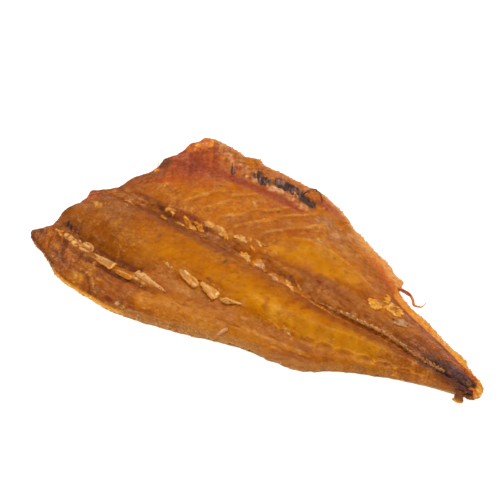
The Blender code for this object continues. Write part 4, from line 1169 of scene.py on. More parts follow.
# name: turn in degrees; shift along x, y and up; tone; half widths along the bone; and marks on its top, in
# millimetres from its blunt end and from its axis: (centre, half lengths, turn, rise, tone)
# Pale marks that rise are partly painted highlights on ridges, knobs and ends; dark marks that sink are
# partly painted shade in slits and hollows.
BONES = {
    "neck_bone_1": (
        -12, (0.2, 1.0, 0), BONE, [(0, 0.6), (0.12, 1.6), (0.5, 2.2), (0.88, 1.7), (1, 0.5)], [
            ((3.0, 0.6), (0.5, 1.8), 24, -0.45, (150, 92, 52)),
            ((1.6, -0.4), (0.9, 1.2), 0, 0.25, BONE_HIGHLIGHT),
            ((4.8, 0.2), (0.9, 1.2), -20, 0.3, (226, 170, 100)),
        ],
    ),
    "neck_bone_2": (
        -9, (0.1, 1.0, 0), BONE, [(0, 0.7), (0.12, 2.0), (0.5, 2.7), (0.85, 2.1), (1, 0.6)], [
            ((2.4, -0.9), (1.7, 1.3), 0, 0.4, BONE_HIGHLIGHT),
            ((3.6, -0.6), (0.4, 1.2), -30, -0.5, (156, 96, 50)),
            ((2.6, 1.6), (2.0, 0.35), -14, -0.5, (128, 76, 42)),
            ((3.4, 2.2), (1.4, 0.5), 0, 0.2, BONE_HIGHLIGHT),
        ],
    ),
    "neck_bone_3": (
        4, (-0.2, 1.2, 0.4), BONE, [(0, 0.7), (0.1, 2.2), (0.4, 3.3), (0.75, 3.1), (0.93, 1.9), (1, 0.6)], [
            ((4.2, 0.4), (2.8, 1.0), -6, 0.5, BONE_HIGHLIGHT),
            ((3.9, -0.9), (3.0, 0.4), -5, -0.7, (176, 106, 50)),
            ((3.2, 1.7), (1.1, 0.34), 12, -0.7, (120, 74, 42)),
            ((4.4, -1.9), (2.2, 0.6), 6, 0.3, (232, 180, 112)),
            ((6.6, 0.2), (0.4, 1.9), 24, -0.4, (164, 108, 60)),
        ],
    ),
    "neck_bone_4": (
        -4, (0.2, 0.2, 0.3), BONE,
        [(0, 0.9), (0.06, 1.5), (0.16, 1.9), (0.28, 1.7), (0.45, 2.3), (0.75, 2.5), (0.93, 3.0),
         (0.985, 2.9), (1, 1.8)], [
            ((2.2, 0.2), (2.6, 2.4), 0, 0, (166, 100, 50)),
            ((14.8, 0.2), (0.7, 3.0), 10, 0.5, (246, 196, 108)),
            ((13.0, -0.4), (1.1, 1.5), 0, -0.5, (196, 128, 56)),
            # a painted shadow by the left hook
            ((1.6, -0.2), (1.8, 0.6), -12, -0.5, (140, 88, 50)),
            ((3.0, 0.9), (1.8, 0.5), -4, 0.3, BONE_HIGHLIGHT),
            ((7.6, 1.2), (4.6, 0.5), -3, 0.4, (234, 182, 116)),
            ((9.6, -1.0), (3.8, 0.8), 6, -0.15, (190, 130, 72)),
        ],
    ),
    "neck_bone_5": (
        1, (1.2, -0.8, -0.1), BONE_AMBER, [(0, 0.5), (0.12, 1.3), (0.6, 1.8), (0.92, 1.7), (1, 0.6)], [
            ((4.2, 0.8), (4.6, 0.45), -2, 0.35, (230, 176, 98)),
            ((9.2, 0.4), (1.0, 1.0), 0, 0.1, (228, 148, 44)),
            ((4.6, -0.8), (4.0, 0.5), 0, -0.15, (178, 108, 36)),
        ],
    ),
    "neck_bone_6": (
        -10.5, (0.6, -0.4, 0.4), (216, 154, 88),
        [(0, 1.5), (0.05, 2.5), (0.18, 3.0), (0.42, 2.4), (0.66, 1.5), (0.88, 0.7), (1, 0.15)], [
            ((8.5, 0.5), (8, 0.9), -2, 0.45, (236, 180, 112)),
            ((10.0, -1.3), (9, 0.5), 3, -0.2, (186, 126, 72)),
            ((2.4, 0.9), (0.7, 0.9), 30, -0.4, (170, 116, 66)),
            ((3.6, -0.9), (1.0, 0.6), 0, 0.4, (242, 194, 132)),
            ((6.2, -0.2), (0.4, 1.0), -30, -0.35, (168, 112, 62)),
        ],
    ),
    "rib_stub_1": (
        -14, (2.4, -1.6, 0), (210, 142, 72), [(0, 0.3), (0.25, 1.0), (0.6, 1.3), (0.85, 1.0), (1, 0.3)], [
            ((4.4, 0.1), (2.8, 0.5), 0, 0.3, (228, 176, 110)),
        ],
    ),
    "rib_stub_2": (
        -13, (2.8, -0.4, 0), (214, 142, 66),
        [(0, 0.7), (0.08, 1.8), (0.3, 2.6), (0.7, 2.9), (0.93, 2.7), (1, 1.8)], [
            ((4.6, 0.8), (2.8, 0.9), -8, 0.4, (248, 204, 144)),
            ((9.4, 0.2), (3.4, 0.34), -13, -0.45, (176, 108, 46)),
            ((11.8, -1.0), (1.6, 0.8), 0, 0.3, (236, 186, 122)),
            ((9.6, 1.4), (3.0, 0.5), -10, 0.3, (232, 176, 96)),
        ],
    ),
    "rib_stub_3": (
        -17, (1.7, 0.2, 0), (216, 144, 68),
        [(0, 1.2), (0.08, 2.3), (0.35, 2.9), (0.8, 3.2), (0.95, 3.0), (1, 2.0)], [
            ((10.4, 0.9), (0.9, 1.1), 0, 0.4, (252, 212, 150)),
            ((7.6, 0.5), (2.0, 0.9), 0, -0.2, (218, 146, 56)),
            ((4.0, -0.6), (3.2, 0.8), 4, 0.3, (230, 180, 116)),
            ((9.4, -1.5), (2.0, 0.5), 0, 0.2, (232, 184, 120)),
            ((2.2, 0.8), (0.5, 1.2), 20, -0.35, (176, 116, 62)),
        ],
    ),
    "rib_stub_4": (
        13, (1.4, 0, 0), (210, 142, 70),
        [(0, 0.6), (0.12, 1.8), (0.35, 2.3), (0.62, 1.4), (0.8, 0.9), (0.94, 1.0), (1, 0.4)], [
            ((3.8, 0.5), (3.0, 0.45), -26, 0.4, (240, 190, 124)),
            ((9.4, 0.0), (1.8, 0.5), 0, 0.3, (226, 174, 108)),
            ((5.4, -0.6), (2.0, 0.3), -16, -0.4, (154, 96, 44)),
        ],
    ),
    "bone_chip": (
        52.5, (0, 0, 0.4), (206, 146, 100), [(0, 0.6), (0.12, 1.1), (0.6, 1.15), (0.92, 1.0), (1, 0.6)], [
            ((2.6, 0.3), (2.4, 0.35), 0, 0.2, (236, 182, 132)),
        ],
    ),
}
BONE_FLATNESS = 0.54
CHIPS, CHIP_SLOPE, CHIP_LEVEL = 7, 0.34, (0.66, 0.95)  # planes that cut a bone's top, and how steep and high
bone_finish = soft_finish("dry bone", 0.55, (0.42, 0.62), 0.35, 0.07)


def squarish(wave):
    """A wave between -1 and 1 with fuller flanks: its size to the power 0.8."""
    return np.sign(wave) * np.abs(wave) ** 0.8


def bone_piece(name, turn, shift, tone, widths, marks, seed):
    """A knobbly bone at its node's place: an ellipse in section, whose half width follows widths, raised and
    cut by its marks, and crumpled by 0.3 mm. Its axis follows the flesh from end to end."""
    low, high = (np.array(corner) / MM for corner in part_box(name))
    length = (high[0] - low[0]) / math.cos(math.radians(turn))
    share = (1 - np.cos(np.linspace(0.06, math.pi - 0.06, BONE_CELLS))) / 2
    share, a = share[:, None], np.linspace(0, 2 * math.pi, BONE_AROUND, endpoint=False)[None, :]
    half = through(widths, share) * (1 + 0.2 * rough(share * length, 2 * np.cos(a), 1.4, seed))
    along = share * length + 0 * a
    across, rise = -half * squarish(np.cos(a)), BONE_FLATNESS * half * squarish(np.sin(a))
    colour = plain(tone, along)
    grain = fibres(along, across, 0, 3.6, 0.6, seed + 1)
    colour = colour * (1 + 0.2 * grain + 0.14 * rough(along, across, 1.2, seed + 2))[..., None]
    facing = smoothstep(-0.1, 0.4, np.sin(a)) * smoothstep(0.1, 0.6, half)
    lump = 0.34 * rough(along, across, 1.3, seed + 3) + 0.16 * grain
    for k, (centre, size, twist, height, mark) in enumerate(marks):
        there = patch(along, across, centre, size, twist, 0.3, seed + 10 + k)
        lump = lump + height * there
        colour = lay(colour, mark, 0.9 * there * facing)
    # painted shade on the sides and underside: darker orange, partly the amber flesh the bone lies in
    colour = lay(colour, (188, 102, 30), 0.9 * (1 - smoothstep(0.1, 0.9, np.sin(a) + 0.3 * grain)))
    # chipped: random slanting planes cut the top off
    dice = np.random.default_rng(seed + 5)
    for _ in range(CHIPS):
        slope, spot = dice.uniform(-CHIP_SLOPE, CHIP_SLOPE, 2), dice.uniform(0.1, 0.9)
        level = dice.uniform(*CHIP_LEVEL)
        plane = level * BONE_FLATNESS * half + slope[0] * (along - spot * length) * 5 / length
        plane = plane + 1.6 * slope[1] * across
        rise = np.where(facing > 0, np.minimum(rise, np.maximum(plane, 0.1)), rise)
    centre = (low + high)[:2] / 2 + shift[:2]
    off_x, off_y = turned(along - length / 2, across, turn)
    x, y = centre[0] + off_x, centre[1] + off_y
    end_x, end_y = turned(np.array((-0.5, 0.5)) * length, 0, turn)
    axis = between(*flesh_height(centre[0] + end_x, centre[1] + end_y), share) + shift[2]
    rings = np.stack([x, y, axis + rise + lump * facing], -1)
    new_piece(name + "_form", *closed_bar(rings), with_poles(colour), bone_finish, "bone", name)


for number, (name, spec) in enumerate(BONES.items()):
    bone_piece(name, *spec, 300 + 20 * number)

# ---------------------------------------------------------------------------------------------------------
# What was left of the backbone: crumbs and flakes of gristle along the seam, and the thin beaded ridge that
# runs on to the tail. Each flake is a crumpled scrap some millimetres long and half a millimetre proud.

CRUMB_ALONG, CRUMB_AROUND = 22, 18
SCRAP, GOLD_SCRAP, PINK_SCRAP, DIM_SCRAP = (226, 162, 86), (228, 148, 44), (218, 156, 104), (198, 128, 58)
# centre x, y; half length, width and height; turn in degrees; tone
GRISTLE = [
    (-67.6, 2.9, 1.7, 0.8, 0.7, 10, SCRAP), (-65.8, 2.1, 0.9, 0.6, 0.5, -30, SCRAP),
    (-88.2, -4.2, 3.2, 0.7, 0.6, -18, SCRAP), (-67.4, -2.8, 1.6, 0.8, 0.5, -20, GOLD_SCRAP),
    (-57.6, -1.6, 1.4, 0.7, 0.4, -16, GOLD_SCRAP), (-56.2, 1.6, 2.2, 0.8, 0.8, -24, GOLD_SCRAP),
    (-52.2, 0.2, 2.8, 0.8, 0.9, -18, (222, 154, 64)), (-48.6, 1.2, 2.6, 0.8, 0.7, -22, (216, 136, 42)),
    (-46.4, 1.4, 1.4, 0.5, 0.5, -40, GOLD_SCRAP), (-43.4, 4.2, 2.4, 1.4, 0.9, -8, SCRAP),
    (-39.6, 3.6, 2.2, 0.9, 0.8, -20, DIM_SCRAP), (-36.2, 4.0, 2.6, 1.3, 0.9, -22, SCRAP),
    (-32.6, 2.9, 2.2, 0.9, 0.7, -30, GOLD_SCRAP), (-25.8, 5.4, 1.8, 1.2, 0.9, 14, SCRAP),
    (-23.2, 4.7, 2.0, 0.9, 0.8, -16, SCRAP), (-21.4, 4.4, 1.2, 0.8, 0.6, 0, DIM_SCRAP),
    (-19.5, 6.8, 0.5, 1.2, 0.7, -12, GOLD_SCRAP), (-15.6, 2.4, 1.8, 0.6, 0.6, -26, GOLD_SCRAP),
    (-15.2, 6.8, 1.9, 0.7, 0.6, -14, SCRAP), (-11.8, 7.2, 1.6, 0.7, 0.5, 4, DIM_SCRAP),
    (-18.4, -1.6, 1.3, 0.8, 0.7, 20, GOLD_SCRAP), (-16.2, -2.5, 2.4, 1.0, 0.8, -18, SCRAP),
    (-9.8, -1.8, 1.5, 0.7, 0.7, 26, GOLD_SCRAP), (-7.4, -3.0, 2.1, 1.1, 0.8, -12, PINK_SCRAP),
    (-10.8, -4.4, 1.2, 0.6, 0.5, -20, (228, 156, 60)), (-4.6, -4.2, 1.4, 0.6, 0.5, -30, DIM_SCRAP),
    (0.8, -5.0, 1.6, 0.6, 0.7, 24, PINK_SCRAP), (3.4, -6.2, 2.4, 0.9, 0.8, -34, (224, 168, 110)),
    (6.0, -7.4, 1.4, 0.6, 0.6, -30, SCRAP), (16.2, -4.2, 1.8, 0.6, 0.6, -30, DIM_SCRAP),
    (12.2, -6.0, 2.4, 0.7, 0.7, -28, SCRAP), (14.6, -7.0, 1.2, 0.5, 0.5, -30, (230, 150, 80)),
    (-52.6, -45.6, 1.3, 0.6, 0.6, -14, (222, 176, 116)), (-50.4, -46.2, 0.8, 0.5, 0.6, 20, SCRAP),
    (-48.6, -46.4, 0.8, 0.5, 0.5, -20, DIM_SCRAP), (-46.8, -46.8, 0.8, 0.5, 0.5, 0, SCRAP),
    (-45.2, -47.2, 1.0, 0.6, 0.5, 26, DIM_SCRAP), (-105.4, -39.6, 0.7, 1.7, 0.9, 14, (228, 156, 58)),
    (-104.4, -42.0, 0.6, 1.0, 0.6, -20, (204, 122, 44)), (-107.4, -40.0, 0.7, 0.6, 0.5, 0, SCRAP),
    (-100.4, -17.0, 1.9, 0.9, 0.7, -38, (226, 156, 60)), (-87.4, -8.4, 1.6, 0.5, 0.4, -30, DIM_SCRAP),
    (-34.2, 30.2, 1.8, 0.4, 0.4, -54, (222, 166, 96)), (29.4, -33.0, 1.2, 0.5, 0.3, -20, (216, 158, 90)),
]


def scrap(x, y, half_long, half_wide, half_high, turn, tone, seed):
    """A crumpled scrap on the flesh: an ellipsoid whose radius swings by a third, with painted shade on its
    lower half.
    """
    v = np.linspace(0.04, math.pi - 0.04, CRUMB_ALONG)[:, None]
    a = np.linspace(0, 2 * math.pi, CRUMB_AROUND, endpoint=False)[None, :]
    px, py, pz = -np.cos(v) + 0 * a, -np.sin(v) * np.cos(a), np.sin(v) * np.sin(a)
    swing = 1.1 + 0.55 * rough(3 * px + 2 * pz, 3 * py - pz, 1.2, seed)
    swing = swing + 0.25 * rough(8 * px, 8 * py, 1.3, seed + 1)
    px, py, pz = px * half_long * swing, py * half_wide * swing, pz * half_high * swing
    off_x, off_y = turned(px, py, turn)
    at_x, at_y = x + off_x, y + off_y
    rings = np.stack([at_x, at_y, flesh_height(at_x, at_y) + 0.12 + pz], -1)
    colour = np.array(tone, float) * (1 + 0.3 * rough(px, py, 0.9, seed + 2))[..., None]
    # painted shade: the lower half of each scrap is painted darker
    colour = lay(colour, colour * (0.87, 0.76, 0.66), 1 - smoothstep(-0.3, 0.3, pz / half_high))
    return *closed_bar(rings), with_poles(colour)


def joined(parts):
    """Points, faces and colours of several parts as one."""
    points, faces, colours, count = [], [], [], 0
    for part_points, part_faces, part_colours in parts:
        points.append(part_points)
        faces += [tuple(int(i) + count for i in face) for face in part_faces]
        colours.append(part_colours)
        count += len(part_points)
    return np.concatenate(points), faces, np.concatenate(colours)


scrap_finish = soft_finish("gristle", 0.5, (0.24, 0.5), 0.4, 0.08)


DULL, FRESH = (0.88, 0.74, 0.5), (1.06, 1.08, 1.12)  # what a scrap's own shade makes of its tone


def cluster(x, y, half_long, half_wide, half_high, turn, tone, seed):
    """A torn bit of gristle: four flat scraps that overlap along its length."""
    dice, parts = np.random.default_rng(seed), []
    for u in (-0.7, -0.25, 0.2, 0.65):
        u, v = (u + dice.uniform(-0.15, 0.15)) * half_long, dice.uniform(-0.5, 0.5) * half_wide
        size = dice.uniform(0.8, 1.3) * half_wide
        shade = np.array(tone, float) * between(np.array(DULL), np.array(FRESH), dice.uniform())
        off_x, off_y = turned(u, v, turn)
        parts.append(scrap(x + off_x, y + off_y, min(2.2 * size, 0.8 * half_long + 0.3), 0.75 * size,
                           0.27 * half_high, turn + dice.uniform(-26, 26), shade, seed + len(parts)))
    return joined(parts)


new_piece(
    "gristle", *joined([cluster(*spec, 700 + 5 * k) for k, spec in enumerate(GRISTLE)]), scrap_finish, "bone",
)

RIDGE = [(22, -6.2), (30, -6.8), (40, -7), (50, -6.5), (60, -6.1), (67, -6), (75, -6.6),
         (85, -7.7), (92, -8.3), (100, -8.6)]


def laid(line, steps, rise):
    """A path over the flesh through the points of a line, some millimetres above it."""
    run = np.concatenate([[0], np.cumsum(np.hypot(*np.diff(np.array(line, float), axis=0).T))])
    at = np.linspace(0, run[-1], steps)
    x = through(list(zip(run, [p[0] for p in line])), at)
    y = through(list(zip(run, [p[1] for p in line])), at)
    return np.stack([x, y, flesh_height(x, y) + rise], -1)


def strand(line, steps, rise, wide, high, tones, seed, around=14, twist=0.0, uneven=0.5):
    """A bar laid over the flesh. wide, high and tones run from its start to its end."""
    share = np.linspace(0, 1, steps)
    rounded = np.sqrt(np.clip(1 - (2 * share - 1) ** 14, 0.002, 1))
    wide, high = (np.interp(share, np.linspace(0, 1, len(v)), v) * rounded for v in (wide, high))
    path = laid(line, steps, np.interp(share, np.linspace(0, 1, len(rise)), rise))
    rings = bar_rings(path, wide, high, around, twist, uneven, seed)
    tones = np.array(tones, float)
    colour = np.stack([np.interp(share, np.linspace(0, 1, len(tones)), tones[:, k]) for k in range(3)], -1)
    colour = np.repeat(colour[:, None], around, 1)
    spot = rough(rings[..., 0] + rings[..., 2], rings[..., 1], 1.3, seed + 1)
    colour = colour * (1 + 0.24 * spot)[..., None]
    return *closed_bar(rings), with_poles(colour)


BEAD, PALE_BEAD = (176, 108, 52), (226, 170, 108)
RIDGE_WIDE, RIDGE_HIGH = (0.2, 0.5, 0.8, 0.7, 0.6, 0.4), (0.2, 0.3, 0.4, 0.4, 0.4, 0.3)
RIDGE_TONES = [(168, 104, 58), (160, 98, 50), (172, 108, 54), (180, 114, 56), (170, 106, 56), (140, 88, 60)]
BEAD_PLACES, FIRST_BEAD = 96, 16
beads, bead_dice = [], np.random.default_rng(77)
for k, (x, y, _) in enumerate(laid(RIDGE, BEAD_PLACES, 0)[FIRST_BEAD:]):
    length, width = bead_dice.uniform(0.4, 1.3), bead_dice.uniform(0.25, 0.55)
    off = bead_dice.uniform(-0.45, 0.45)
    tone = between(np.array(BEAD), np.array(PALE_BEAD), bead_dice.uniform() * ramp(112, 84, x))
    beads.append(scrap(x, y + off, length, width, 0.3, bead_dice.uniform(-40, 20), tone, 2600 + 3 * k))
new_piece("seam_ridge", *joined([
    strand(RIDGE, 260, (-0.15, -0.15), RIDGE_WIDE, RIDGE_HIGH, RIDGE_TONES, 900, uneven=1.1),
    *beads,
]), scrap_finish, "bone")

# ---------------------------------------------------------------------------------------------------------
# What was left of the black belly lining: two torn, streaky patches of thin membrane on the upper flap, and
# a few hair-thin strands of it. The patches are 10 and 28 mm long and some tenths of a millimetre thick.

LINING_CELLS = (48, 18)
LINING, LINING_SHEEN = (58, 38, 42), (152, 104, 88)


def membrane(line, widths, rise, seed):
    """A torn patch of membrane along a line: its half width follows widths and is frayed."""
    along = np.linspace(0, 1, LINING_CELLS[0])
    path = laid(line, LINING_CELLS[0], 0)[:, :2]
    ahead = heading(path)
    across = np.linspace(-1, 1, LINING_CELLS[1])[None, :]
    half = through(widths, along)[:, None]
    frayed = half * (1 + 0.55 * rough(path[:, :1] + 0 * across, 9 * np.sign(across) + 0 * half, 1.3, seed))
    x = path[:, :1] - ahead[:, 1:] * across * frayed
    y = path[:, 1:] + ahead[:, :1] * across * frayed
    bulge = np.sqrt(np.clip(1 - across**4, 0, 1)) * np.sqrt(np.clip(1 - (2 * along - 1) ** 10, 0, 1))[:, None]
    streak = fibres(x, y, -58, 9, 1.2, seed + 2)
    ground = flesh_height(x, y)
    top = np.stack([x, y, ground + bulge * (rise + 0.35 * streak + 0.1 * rough(x, y, 1.2, seed + 3))], -1)
    under = np.stack([x, y, ground - 0.3 * bulge], -1)
    points, faces = closed_sheet(top, under)
    colour = plain(LINING, x)
    # pale streaks: painted sheen on the membrane's streaks
    colour = lay(colour, LINING_SHEEN, 0.75 * smoothstep(0.0, 0.35, -fibres(x, y, -56, 6, 1.1, 965)))
    colour = colour * (1 + 0.4 * rough(x, y, 1.2, seed + 4))[..., None]
    inner = colour[1:-1, 1:-1].reshape(-1, 3)
    return points, faces, np.concatenate([colour.reshape(-1, 3), inner])


# line, half widths along it, and height
STRIPS = [
    ([(-49.4, 54.8), (-46.4, 52.4), (-42.2, 48.4)], [(0, 0.5), (0.3, 1.3), (0.7, 1.5), (1, 0.5)], 0.35),
    ([(-48, 55), (-44.4, 53), (-41.6, 50.4)], [(0, 0.4), (0.5, 1.2), (1, 0.4)], 0.3),
    ([(-44, 55.4), (-42, 54.2), (-40, 52)], [(0, 0.7), (0.5, 1.3), (1, 0.5)], 0.3),
    ([(-38.6, 57.6), (-36.4, 55.4), (-33.4, 52.2)], [(0, 0.9), (0.5, 2.0), (1, 0.7)], 0.4),
    ([(-35.4, 58), (-32.6, 55.4), (-29.4, 52)], [(0, 0.6), (0.5, 1.5), (1, 0.7)], 0.4),
    ([(-32.6, 58), (-29, 55.8), (-24.8, 52)], [(0, 0.7), (0.5, 2.0), (1, 0.6)], 0.4),
    ([(-30, 58), (-25, 56.2), (-20, 54), (-15.4, 51.6)], [(0, 0.6), (0.4, 2.2), (0.8, 1.9), (1, 0.6)], 0.4),
    ([(-19, 53.8), (-15, 51.8), (-12.4, 50.4), (-9.4, 49.8)],
     [(0, 1.2), (0.3, 1.6), (0.7, 0.8), (1, 0.1)], 0.3),
]
# line, steps, heights, half widths, half heights, tones, seed, and points around
HAIRS = [
    ([(-21, 54.6), (-20.6, 57), (-20, 59.5), (-17.5, 62.6), (-14.4, 61.8), (-11.2, 58.9), (-9.2, 56.2)], 90,
     (0.2, 0.7, 1.0, 0.8, 0.2), (0.34, 0.26, 0.24, 0.22, 0.24), (0.25, 0.2, 0.2, 0.2, 0.2),
     [(66, 44, 42), (84, 58, 50), (66, 46, 44)], 960, 8),
    ([(-19.4, 63.2), (-18, 63.9), (-16.4, 62.2)], 30, (0.2, 0.6, 0.2), (0.16, 0.16), (0.16, 0.16),
     [(120, 84, 60)], 962, 8),
    ([(-65.6, 55), (-64.4, 52.6), (-62.6, 50), (-60.4, 47), (-58.5, 44.7)], 60, (0.1, 0.3, 0.2),
     (0.2, 0.3, 0.5, 0.6, 0.3), (0.2, 0.3, 0.3),
     [(84, 60, 60), (52, 42, 52), (60, 44, 50), (84, 58, 56)], 964, 10),
    ([(-61.2, 50.2), (-59.6, 48.4), (-59, 46.6)], 20, (0.1, 0.2), (0.25, 0.4), (0.2, 0.3),
     [(104, 74, 70)], 966, 10),
]
lining_finish = soft_finish("belly lining", 0.45, (0.3, 0.55), 0.4, 0.08)
new_piece("belly_lining", *joined([
    *(membrane(*strip, 920 + 4 * k) for k, strip in enumerate(STRIPS)),
    *(strand(*hair) for hair in HAIRS),
]), lining_finish, "flesh")

# ---------------------------------------------------------------------------------------------------------
# Fat that came out of the flesh near the tail and dried there: strings of yellow curds a millimetre or two
# across, heaped where it ran, and one pale flat drop. It sticks to the flesh by itself.

CURD, PALE_CURD = (226, 136, 16), (246, 186, 92)
# centre, half lengths, turn, and how many curds lie there
CURDS = [
    ((54.4, 4.4), (3.6, 2.2), -16, 30), ((60.6, 10.8), (1.0, 2.6), 30, 14), ((65.6, 9.4), (0.7, 2.6), 16, 10),
    ((62.6, 6.8), (2.6, 0.8), -16, 10), ((56.2, 14.0), (0.6, 3.6), 22, 12), ((59.2, 8.2), (1.6, 1.2), 0, 6),
    ((63.4, 12.6), (1.8, 0.7), -20, 6),
]
# the pale drop and its small neighbour: centre x, y; half length, width and height; turn; tone; seed
DROPS = [
    (70.4, 3.2, 2.5, 2.3, 0.35, 60, (192, 134, 88), 1500),
    (68.2, 0.8, 0.9, 0.7, 0.3, 10, (196, 140, 100), 1503),
]
spread = np.random.default_rng(41)
curd_parts = []
for centre, half, turn, count in CURDS:
    for _ in range(count):
        angle, reach = spread.uniform(0, 2 * math.pi), math.sqrt(spread.uniform(0, 1))
        u, v = half[0] * reach * math.cos(angle), half[1] * reach * math.sin(angle)
        size = spread.uniform(0.6, 1.5)
        tone = between(np.array(CURD), np.array(PALE_CURD), spread.uniform(0, 1) ** 2)
        off_x, off_y = turned(u, v, turn)
        curd_parts.append(scrap(
            centre[0] + off_x, centre[1] + off_y, size, size * spread.uniform(0.5, 0.8), 0.2 * size,
            spread.uniform(0, 180), tone, 1000 + len(curd_parts),
        ))
curd_finish = soft_finish("dried fat", 0.5, (0.2, 0.45), 0.4, 0.06)
new_piece("fat_curds", *joined(curd_parts + [scrap(*drop) for drop in DROPS]), curd_finish, "flesh")

# ---------------------------------------------------------------------------------------------------------
# The torn ends: the thread of flesh that hangs from the upper edge, the prong and the lip of the pocket at
# the tail, and small shreds where the knife and the rack tore the rims.

THREAD = [(49, 24.6), (55.6, 27.2), (60.4, 27.4), (63.6, 25.8), (66.4, 23), (69.6, 24.4), (70.2, 29)]
THREAD_TONES = [(176, 76, 38), (178, 80, 42), (190, 98, 52), (204, 116, 58), (208, 122, 58), (216, 142, 76),
                (230, 172, 118)]


def hanging(line, heights, steps, wide, high, tones, seed, around=18, twist=0.0, uneven=0.3):
    """A bar through points in plan, at its own heights above the board instead of over the flesh."""
    points, faces, colours = strand(line, steps, (0, 0), wide, high, tones, seed, around, twist, uneven)
    path = laid(line, steps, 0)
    drop = np.interp(np.linspace(0, 1, steps), np.linspace(0, 1, len(heights)), heights) - path[:, 2]
    points[:-2, 2] += np.repeat(drop, around)
    points[-2:, 2] += drop[[0, -1]]
    return points, faces, colours


THREAD_WIDE = (2.0, 2.1, 1.4, 0.95, 0.7, 0.4, 0.16)
THREAD_HIGH = (1.0, 0.9, 0.8, 0.65, 0.5, 0.3, 0.14)
THREAD_HEIGHTS = (4.0, 3.8, 3.2, 2.8, 2.3, 2.0, 2.2)
new_piece("torn_thread", *hanging(
    THREAD, THREAD_HEIGHTS, 150, THREAD_WIDE, THREAD_HIGH, THREAD_TONES, 1600, twist=0.12,
), flesh_finish, "flesh", "fish")
PRONG = [(103, -8), (107, -9.4), (110, -11.6), (111.8, -14), (112.4, -16), (112.6, -18)]
PRONG_WIDE, PRONG_HIGH = (1.2, 1.7, 2.1, 1.9, 2.0, 3.0), (0.7, 1.0, 1.1, 0.9, 0.7, 0.35)
PRONG_TONES = [
    (66, 36, 38), (70, 38, 36), (74, 40, 36), (80, 44, 34), (88, 48, 32), (96, 52, 32), (104, 56, 30),
    (112, 60, 30), (120, 64, 30), (146, 80, 34), (250, 176, 76),
]
PRONG_HEIGHTS = (5.2, 5.0, 4.6, 3.8, 2.8, 2.2)
new_piece("tail_prong", *hanging(
    PRONG, PRONG_HEIGHTS, 90, PRONG_WIDE, PRONG_HIGH, PRONG_TONES, 1620, around=36, uneven=0.4,
), flesh_finish, "flesh", "fish")
LIP = [(113, -12.6), (114, -10.6), (115.4, -9.2), (116.8, -9.2), (117.8, -10.6), (118.6, -12)]
LIP_TONES = [(120, 60, 30), (178, 84, 30), (204, 98, 30), (210, 112, 36), (236, 160, 70)]
POCKET = [(112.8, -12.4), (115, -11.8), (117.2, -11.2), (118.6, -9.8)]
POCKET_TONES = [(118, 66, 34), (134, 78, 38), (238, 166, 70)]
new_piece("pocket_lip", *joined([
    hanging(LIP, (3.4, 4.4, 4.9, 4.9, 4.2, 3.0), 90, (0.7, 0.9, 0.8, 0.8, 0.9, 0.7),
            (0.5, 0.6, 0.7, 0.7, 0.6, 0.5), LIP_TONES, 1640, 16),
    hanging(POCKET, (3.0, 2.2, 2.2, 2.4), 60, (0.8, 1.6, 1.4, 0.8),
            (0.5, 0.7, 0.7, 0.5), POCKET_TONES, 1660, 16),
]), flesh_finish, "flesh", "fish")


def shreds(flap, count, alongs, outs, length, turns, tones, seed):
    """Small torn slivers that stick out of the rim: tapered bars at random places along a stretch of it."""
    dice = np.random.default_rng(seed)
    parts = []
    for k in range(count):
        along, out = dice.uniform(*alongs), dice.uniform(*outs)
        x, y, _, top, _ = (float(v) for v in flap_form(flap, np.array(along), np.array(out)))
        turn, reach = math.radians(dice.uniform(*turns)), length * dice.uniform(0.4, 1) ** 1.5
        share = np.linspace(0, 1, 6)
        bend = dice.uniform(-0.5, 0.5)
        path = np.stack([
            x + reach * (share - 0.35) * np.cos(turn + bend * share),
            y + reach * (share - 0.35) * np.sin(turn + bend * share),
            top - 0.15 + 0.25 * reach * share * dice.uniform(-1, 1),
        ], -1)
        width = reach * dice.uniform(0.1, 0.28) * np.sin(math.pi * np.clip(share * 0.9 + 0.08, 0, 1))
        rings = bar_rings(path, width, 0.5 * width, 7, 0, 0.6, seed + k)
        tone = between(np.array(tones[0], float), np.array(tones[1], float), dice.uniform(0, 1))
        points, faces = closed_bar(rings)
        parts.append((points, faces, np.tile(tone, (len(points), 1))))
    return parts


# flap, how many, where along and out, length, turns in degrees, the two end tones, seed
RIM_SHREDS = [
    (UPPER, 90, (0.05, 0.55), (1, 1), 1.8, (20, 150), ((206, 106, 46), (238, 178, 92)), 1700),
    (UPPER, 70, (0.55, 0.98), (1, 1), 1.6, (-10, 120), ((226, 140, 66), (246, 196, 120)), 1800),
    (UPPER, 34, (0, 0), (0, 1), 1.6, (110, 250), ((190, 92, 40), (228, 150, 80)), 1900),
    (LOWER, 26, (0, 0), (0, 1), 1.5, (110, 250), ((150, 80, 40), (214, 134, 70)), 1950),
    (LOWER, 60, (0.03, 0.3), (0.985, 1), 1.5, (180, 350), ((224, 138, 40), (246, 186, 90)), 2000),
    (LOWER, 110, (0.3, 0.62), (0.96, 1), 1.5, (150, 380), ((176, 112, 62), (222, 166, 104)), 2100),
    (LOWER, 40, (0.62, 0.97), (0.99, 1), 1.2, (180, 350), ((120, 72, 44), (214, 140, 72)), 2300),
]
HEAD_SLIVER = [(-96.2, 28.4), (-97, 30.2), (-97.6, 32.4)]
new_piece("edge_shreds", *joined([
    *(sliver for stretch in RIM_SHREDS for sliver in shreds(*stretch)),
    hanging(HEAD_SLIVER, (5.2, 6, 6.4), 12, (0.3, 0.12), (0.3, 0.12), [(226, 180, 120)], 2400, 8),
]), flesh_finish, "flesh")

# ---------------------------------------------------------------------------------------------------------
# What stands round the fish and isn't part of it: a plain white board below, which glows a little so that
# it stays pale, two soft boxes, and the camera, which looks down on the fish from over its lower edge.

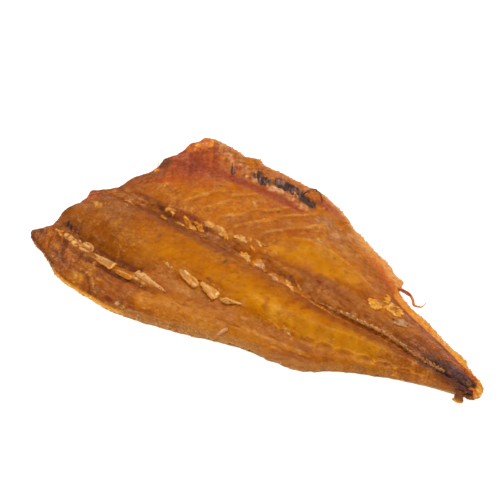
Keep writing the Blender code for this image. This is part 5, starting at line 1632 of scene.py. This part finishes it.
VIEW_AZIMUTH, VIEW_ELEVATION, VIEW_DISTANCE = 35.29, 45, 706.4
AIM = (-22.4, 9.75, 0.0)
FOCAL_LENGTH, SENSOR = 100, 36
BOARD_HALF, BOARD_TONE, BOARD_GLOW = 3000.0, 0.5, 0.88
# azimuth, elevation, distance and side in metres, watts
SOFT_BOXES = {"key light": (205, 70, 1.3, 0.6, 11.5), "front light": (30, 38, 1.5, 1.2, 5)}
STUDIO_LIGHT = 0.3

floor_mesh = bpy.data.meshes.new("floor")
floor_mesh.from_pydata(
    [(sx * BOARD_HALF * MM, sy * BOARD_HALF * MM, 0) for sx, sy in ((-1, -1), (1, -1), (1, 1), (-1, 1))],
    [], [(0, 1, 2, 3)],
)
floor = bpy.data.objects.new("floor", floor_mesh)
bpy.context.scene.collection.objects.link(floor)
floor_finish = bpy.data.materials.new("white board")
floor_finish.use_nodes = True
floor_shader = floor_finish.node_tree.nodes["Principled BSDF"].inputs
for slot, value in {
    "Base Color": (BOARD_TONE, BOARD_TONE, BOARD_TONE, 1), "Roughness": 0.9, "Specular IOR Level": 0.0,
    "Emission Color": (1, 1, 1, 1), "Emission Strength": BOARD_GLOW,
}.items():
    floor_shader[slot].default_value = value
floor.data.materials.append(floor_finish)


def towards(azimuth, elevation):
    """Direction from the object: azimuth 0 is the side that faces -Y."""
    a, e = math.radians(azimuth), math.radians(elevation)
    return Vector((math.sin(a) * math.cos(e), -math.cos(a) * math.cos(e), math.sin(e)))


def soft_light(name, azimuth, elevation, distance, side, power):
    """A square soft box that faces the fish."""
    lamp = bpy.data.lights.new(name, "AREA")
    lamp.shape, lamp.size, lamp.energy = "SQUARE", side, power
    holder = bpy.data.objects.new(name, lamp)
    direction = towards(azimuth, elevation)
    holder.location = direction * distance
    holder.rotation_mode = "QUATERNION"
    holder.rotation_quaternion = direction.to_track_quat("Z", "Y")
    bpy.context.scene.collection.objects.link(holder)


for name, box in SOFT_BOXES.items():
    soft_light(name, *box)
world = bpy.data.worlds.new("studio")
bpy.context.scene.world = world
world.use_nodes = True
sky = world.node_tree.nodes["Background"].inputs
sky["Color"].default_value, sky["Strength"].default_value = (1, 1, 1, 1), STUDIO_LIGHT

lens = bpy.data.cameras.new("camera")
lens.lens, lens.sensor_width = FOCAL_LENGTH, SENSOR
lens.clip_start, lens.clip_end = 0.01, 100
camera = bpy.data.objects.new("camera", lens)
bpy.context.scene.collection.objects.link(camera)
back = towards(VIEW_AZIMUTH, VIEW_ELEVATION)
camera.location = Vector(AIM) * MM + back * VIEW_DISTANCE * MM
camera.rotation_mode = "QUATERNION"
camera.rotation_quaternion = (-back).to_track_quat("-Z", "Y")
bpy.context.scene.camera = camera
bpy.context.scene.view_settings.view_transform = "Standard"
